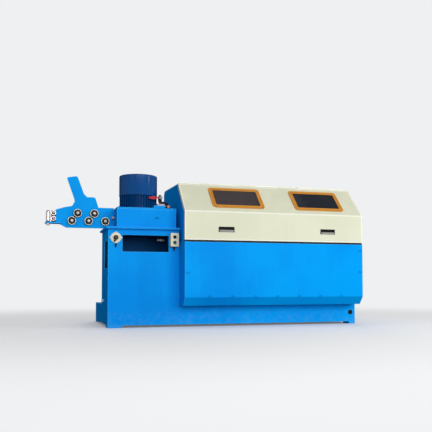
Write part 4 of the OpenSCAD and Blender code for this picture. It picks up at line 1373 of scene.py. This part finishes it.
@dataclass
class Hood:
    """End walls, roof sheet, the bent cover with its windows and pull handles, and what stands behind."""

    edge: float = 0.0022
    sheet_edge: float = 0.0010
    gasket_edge: float = 0.0025
    groove_inset: float = 0.013
    groove_depth: float = 0.0016
    crease_z: float = 0.975
    leaf_front: float = 0.002
    leaf_under: float = 0.004
    leaf_down: float = 0.0011
    leaf_wide: float = 0.0145
    leaf_thick: float = 0.0018
    leaf_end: float = 0.005
    handle_long: float = 0.140
    lip_deep: float = 0.006
    lip_tall: float = 0.020
    lip_end: float = 0.007
    lip_up: float = 0.0095
    drum_count: int = 5
    drum_width: float = 0.090
    drum_step: float = 0.008
    shaft_r: float = 0.028
    screw_ring: float = 0.055

    def build(self) -> None:
        """Build and dress the hood."""
        softened("hood_ends", BLUE, self.edge)
        softened("hood_roof", CREAM, self.sheet_edge)
        softened("cover", CREAM, self.sheet_edge)
        self.hinge_leaf()
        softened("window_panes", GLASS, 0.0015)
        self.gaskets()
        softened("pull_handles", BLACK, 0.0012)
        self.handle_lips()
        softened("block_wall", BLUE, self.edge)
        self.drums()
        softened("drive_casing", BLUE, 0.004, 3)
        self.casing_screws()

    def hinge_leaf(self) -> None:
        """Lay the cover's hinge leaf along its upper edge, close under the roof's knuckles."""
        joint = next(j for j in frame["joints"] if j["name"] == "cover_hinge")
        low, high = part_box("cover")
        top = Vector((0, joint["pos_m"][1] - self.leaf_front, joint["pos_m"][2] - self.leaf_under))
        slope = math.atan2(top.z - self.crease_z, top.y - low.y)
        size = Vector((high.x - low.x - 2 * self.leaf_end, self.leaf_wide, self.leaf_thick))
        leaf = block(size, Vector(((low.x + high.x) / 2, -self.leaf_down - self.leaf_wide / 2,
                                   self.leaf_thick / 2)))
        place = Matrix.Translation(top) @ Matrix.Rotation(slope, 4, "X")
        mate(settle(bevelled(leaf, 0.0004, 1), "hinge_leaf", place), "cover", CREAM)

    def gaskets(self) -> None:
        """Round the window frames and sink the groove of their locking strip."""
        piece = softened("window_gaskets", GASKET, self.gasket_edge, 3)
        slope = Vector((0, -1, 1))
        picked = pick_faces(piece, lambda at, normal: normal.dot(slope) > 1.38)
        log.info("window_gaskets: %d front faces take the groove", picked)
        with editing(piece, everything=False):
            bpy.ops.mesh.inset(thickness=self.groove_inset, depth=0)
            bpy.ops.mesh.inset(thickness=0.0008, depth=-self.groove_depth)

    def handle_lips(self) -> None:
        """Lay the bright rounded lip into the lower half of each pull handle."""
        low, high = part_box("pull_handles")
        length, front = self.handle_long, low.y
        size = Vector((length - 2 * self.lip_end, self.lip_deep, self.lip_tall))
        lips = []
        for x in (low.x + length / 2, high.x - length / 2):
            centre = Vector((x, front + self.lip_deep / 2 - 0.0012, low.z + self.lip_up))
            lips.append(bevelled(block(size, centre), 0.0028, 4))
        mate(joined(lips, "handle_lips"), "cover", GREY_LIP)

    def drums(self) -> None:
        """Turn the stepped drawing blocks on their shafts, with their screws."""
        low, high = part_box("drawing_blocks")
        tank_low, tank_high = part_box("tank")
        pitch = (tank_high.x - tank_low.x) / self.drum_count
        r = (high.z - low.z) / 2
        w, s, e, long = self.drum_width, r - self.drum_step, 0.002, high.y - low.y
        profile = [(0, 0.008), (0.030, 0.008), (0.034, 0.004), (0.072, 0.004), (0.076, 0), (r - e, 0), (r, e),
                   (r, 0.009), (r - e, 0.011), *corner(0.006, (s + 0.006, 0.018), 270, 180, 4),
                   (s, w - 0.020), (s + 0.004, w - 0.015), (r, w - 0.013), (r, w - e), (r - e, w),
                   (self.shaft_r, w), (self.shaft_r, long), (0, long)]
        screws, hubs = [], []
        for i in range(self.drum_count):
            at = Vector((tank_low.x + pitch * (i + 0.5), low.y, low.z + r))
            place = Heading.BACK.place(at)
            tone = Turned(f"turned_drum_{i + 1}", "machined_steel", screen(122, 124, 128), tuple(at))
            piece = settle(turned(profile, 64), f"drum_{i + 1}", place)
            mate(piece, "base", tone, *(("drawing_blocks",) if i == 0 else ()))
            hubs.append(Heading.FRONT.place(at + Vector((0, 0.008, 0))))
            for k in range(6):
                turn = math.pi / 3 * k
                out = Vector((math.cos(turn), 0, math.sin(turn))) * self.screw_ring
                screws.append(Heading.FRONT.place(at + out + Vector((0, 0.004, 0))))
        mate(copies(HexBolt(0.036, 0.014, 0.003, 0.024).model(), hubs, "drum_nuts"), "base", DARK_STEEL)
        mate(copies(SocketScrew(0.006, 0.005).model(), screws, "drum_screws"), "base", DARK_STEEL)

    def casing_screws(self) -> None:
        """Screw the back of the drive casing on along its upper and lower edges."""
        low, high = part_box("drive_casing")
        inset, count = 0.025, 9
        xs = [low.x + inset + (high.x - low.x - 2 * inset) * i / (count - 1) for i in range(count)]
        places = [Heading.BACK.place(Vector((x, high.y, z)))
                  for x in xs for z in (low.z + inset, high.z - inset)]
        mate(copies(HexBolt(0.013, 0.0055, 0.0016, 0.0105).model(), places, "casing_screws"), "base", STEEL)


@dataclass
class Studio:
    """Floor, world, lamps and the camera at the photograph's place."""

    camera_at: tuple[float, float, float] = (-1.7387, -5.7449, 0.3753)
    yaw: float = 16.196
    pitch: float = 2.623
    lens: float = 52.247
    rise: float = 0.08826
    floor_radius: float = 40.0
    background: Rgb = (0.86, 0.87, 0.88)
    ambient: float = 0.28
    floor_tone: float = 0.30
    floor_glow: float = 0.15
    fade_from: float = 2.0
    fade_to: float = 5.0

    def build(self) -> None:
        """Set up the studio."""
        bpy.context.scene.view_settings.view_transform = "Standard"
        self.world()
        self.floor()
        self.lamps()
        self.camera()

    def camera(self) -> None:
        """Stand the camera where the photograph was taken."""
        data = bpy.data.cameras.new("camera")
        data.sensor_width = 36.0
        data.lens = self.lens
        data.shift_y = self.rise
        data.clip_end = 200
        camera = bpy.data.objects.new("camera", data)
        bpy.context.scene.collection.objects.link(camera)
        camera.location = self.camera_at
        camera.rotation_euler = (math.radians(90 + self.pitch), 0, -math.radians(self.yaw))
        bpy.context.scene.camera = camera

    def world(self) -> None:
        """Light all round at a low level, and show the pale background to the camera and in reflections."""
        world = bpy.data.worlds.new("world")
        world.use_nodes = True
        bpy.context.scene.world = world
        tree = Tree(world.node_tree)
        dim = tree.node("ShaderNodeBackground", {}, {"Color": (1, 1, 1, 1), "Strength": self.ambient})
        pale = tree.node("ShaderNodeBackground", {}, {"Color": (*self.background, 1), "Strength": 1.0})
        mix = tree.node("ShaderNodeMixShader", {}, {0: tree.shown(), 1: dim, 2: pale})
        tree.node("ShaderNodeOutputWorld", {}, {"Surface": mix})

    def floor(self) -> None:
        """Lay a pale floor that runs out into the background."""
        clear_bench()
        bpy.ops.mesh.primitive_circle_add(vertices=96, radius=self.floor_radius, fill_type="NGON",
                                          location=(0, 0, 0))
        floor = settle(bpy.context.object, "studio_floor")
        shader = Shader("studio_floor")
        seen = shader.shown()
        grain = shader.noise(3.0, 5.0) * 0.03 + 0.97
        pale = shader.blend(grain, tuple(c * 0.9 for c in self.background), (1.0, 1.0, 1.0))
        colour = shader.blend(seen, (self.floor_tone,) * 3, pale)
        shader.feed(Base_Color=colour, Roughness=0.9, Specular_IOR_Level=0.1)
        far = shader.reach(shader.point).ramp(self.fade_from, self.fade_to)
        dim = shader.node("ShaderNodeEmission", {}, {"Color": (1, 1, 1, 1), "Strength": self.ambient})
        pale = shader.node("ShaderNodeEmission", {}, {"Color": (*self.background, 1), "Strength": 1.0})
        glow = shader.node("ShaderNodeMixShader", {}, {0: seen, 1: dim, 2: pale})
        share = (far * (1 - self.floor_glow) + self.floor_glow) * seen + far * (1 - seen)
        shader.show(shader.node("ShaderNodeMixShader", {}, {0: share, 1: shader.surface, 2: glow}))
        floor.data.materials.append(shader.material)

    def lamps(self) -> None:
        """Hang wide soft lamps in front and behind, a weak one above and a narrow one at either side."""
        for name, at, wide, tall, power in (("key", (0.1, -7.6, 1.9), 7.0, 3.0, 410.0),
                                            ("top", (0.3, -0.6, 5.0), 4.0, 3.0, 20.0),
                                            ("back", (0.6, 6.5, 3.2), 6.0, 2.5, 170.0),
                                            ("right", (3.6, -3.1, 2.2), 0.25, 2.0, 42.0),
                                            ("left", (-4.4, -3.8, 2.0), 0.25, 2.0, 9.0)):
            data = bpy.data.lights.new(name, "AREA")
            data.shape = "RECTANGLE"
            data.size = wide
            data.size_y = tall
            data.energy = power
            lamp = bpy.data.objects.new(name, data)
            bpy.context.scene.collection.objects.link(lamp)
            aim = Vector((0, 0, 0.6)) - Vector(at)
            lamp.location = at
            lamp.rotation_euler = aim.to_track_quat("-Z", "Y").to_euler()
            lamp.visible_camera = False


def main() -> None:
    """Build every sub-assembly in order and report it."""
    logging.basicConfig(level=logging.INFO, format="%(name)s: %(message)s")
    for assembly in (Studio(), Base(), FeedGear(), Motor(), StraighteningArm(), Controls(), LubricantValve(),
                     Tank(), Hood()):
        before = set(bpy.data.objects)
        assembly.build()
        for piece in sorted(set(bpy.data.objects) - before, key=lambda o: o.name):
            if piece.type == "MESH":
                log.info("%s: %s, %d faces", type(assembly).__name__, piece.name, len(piece.data.polygons))


if __name__ == "__main__":
    main()
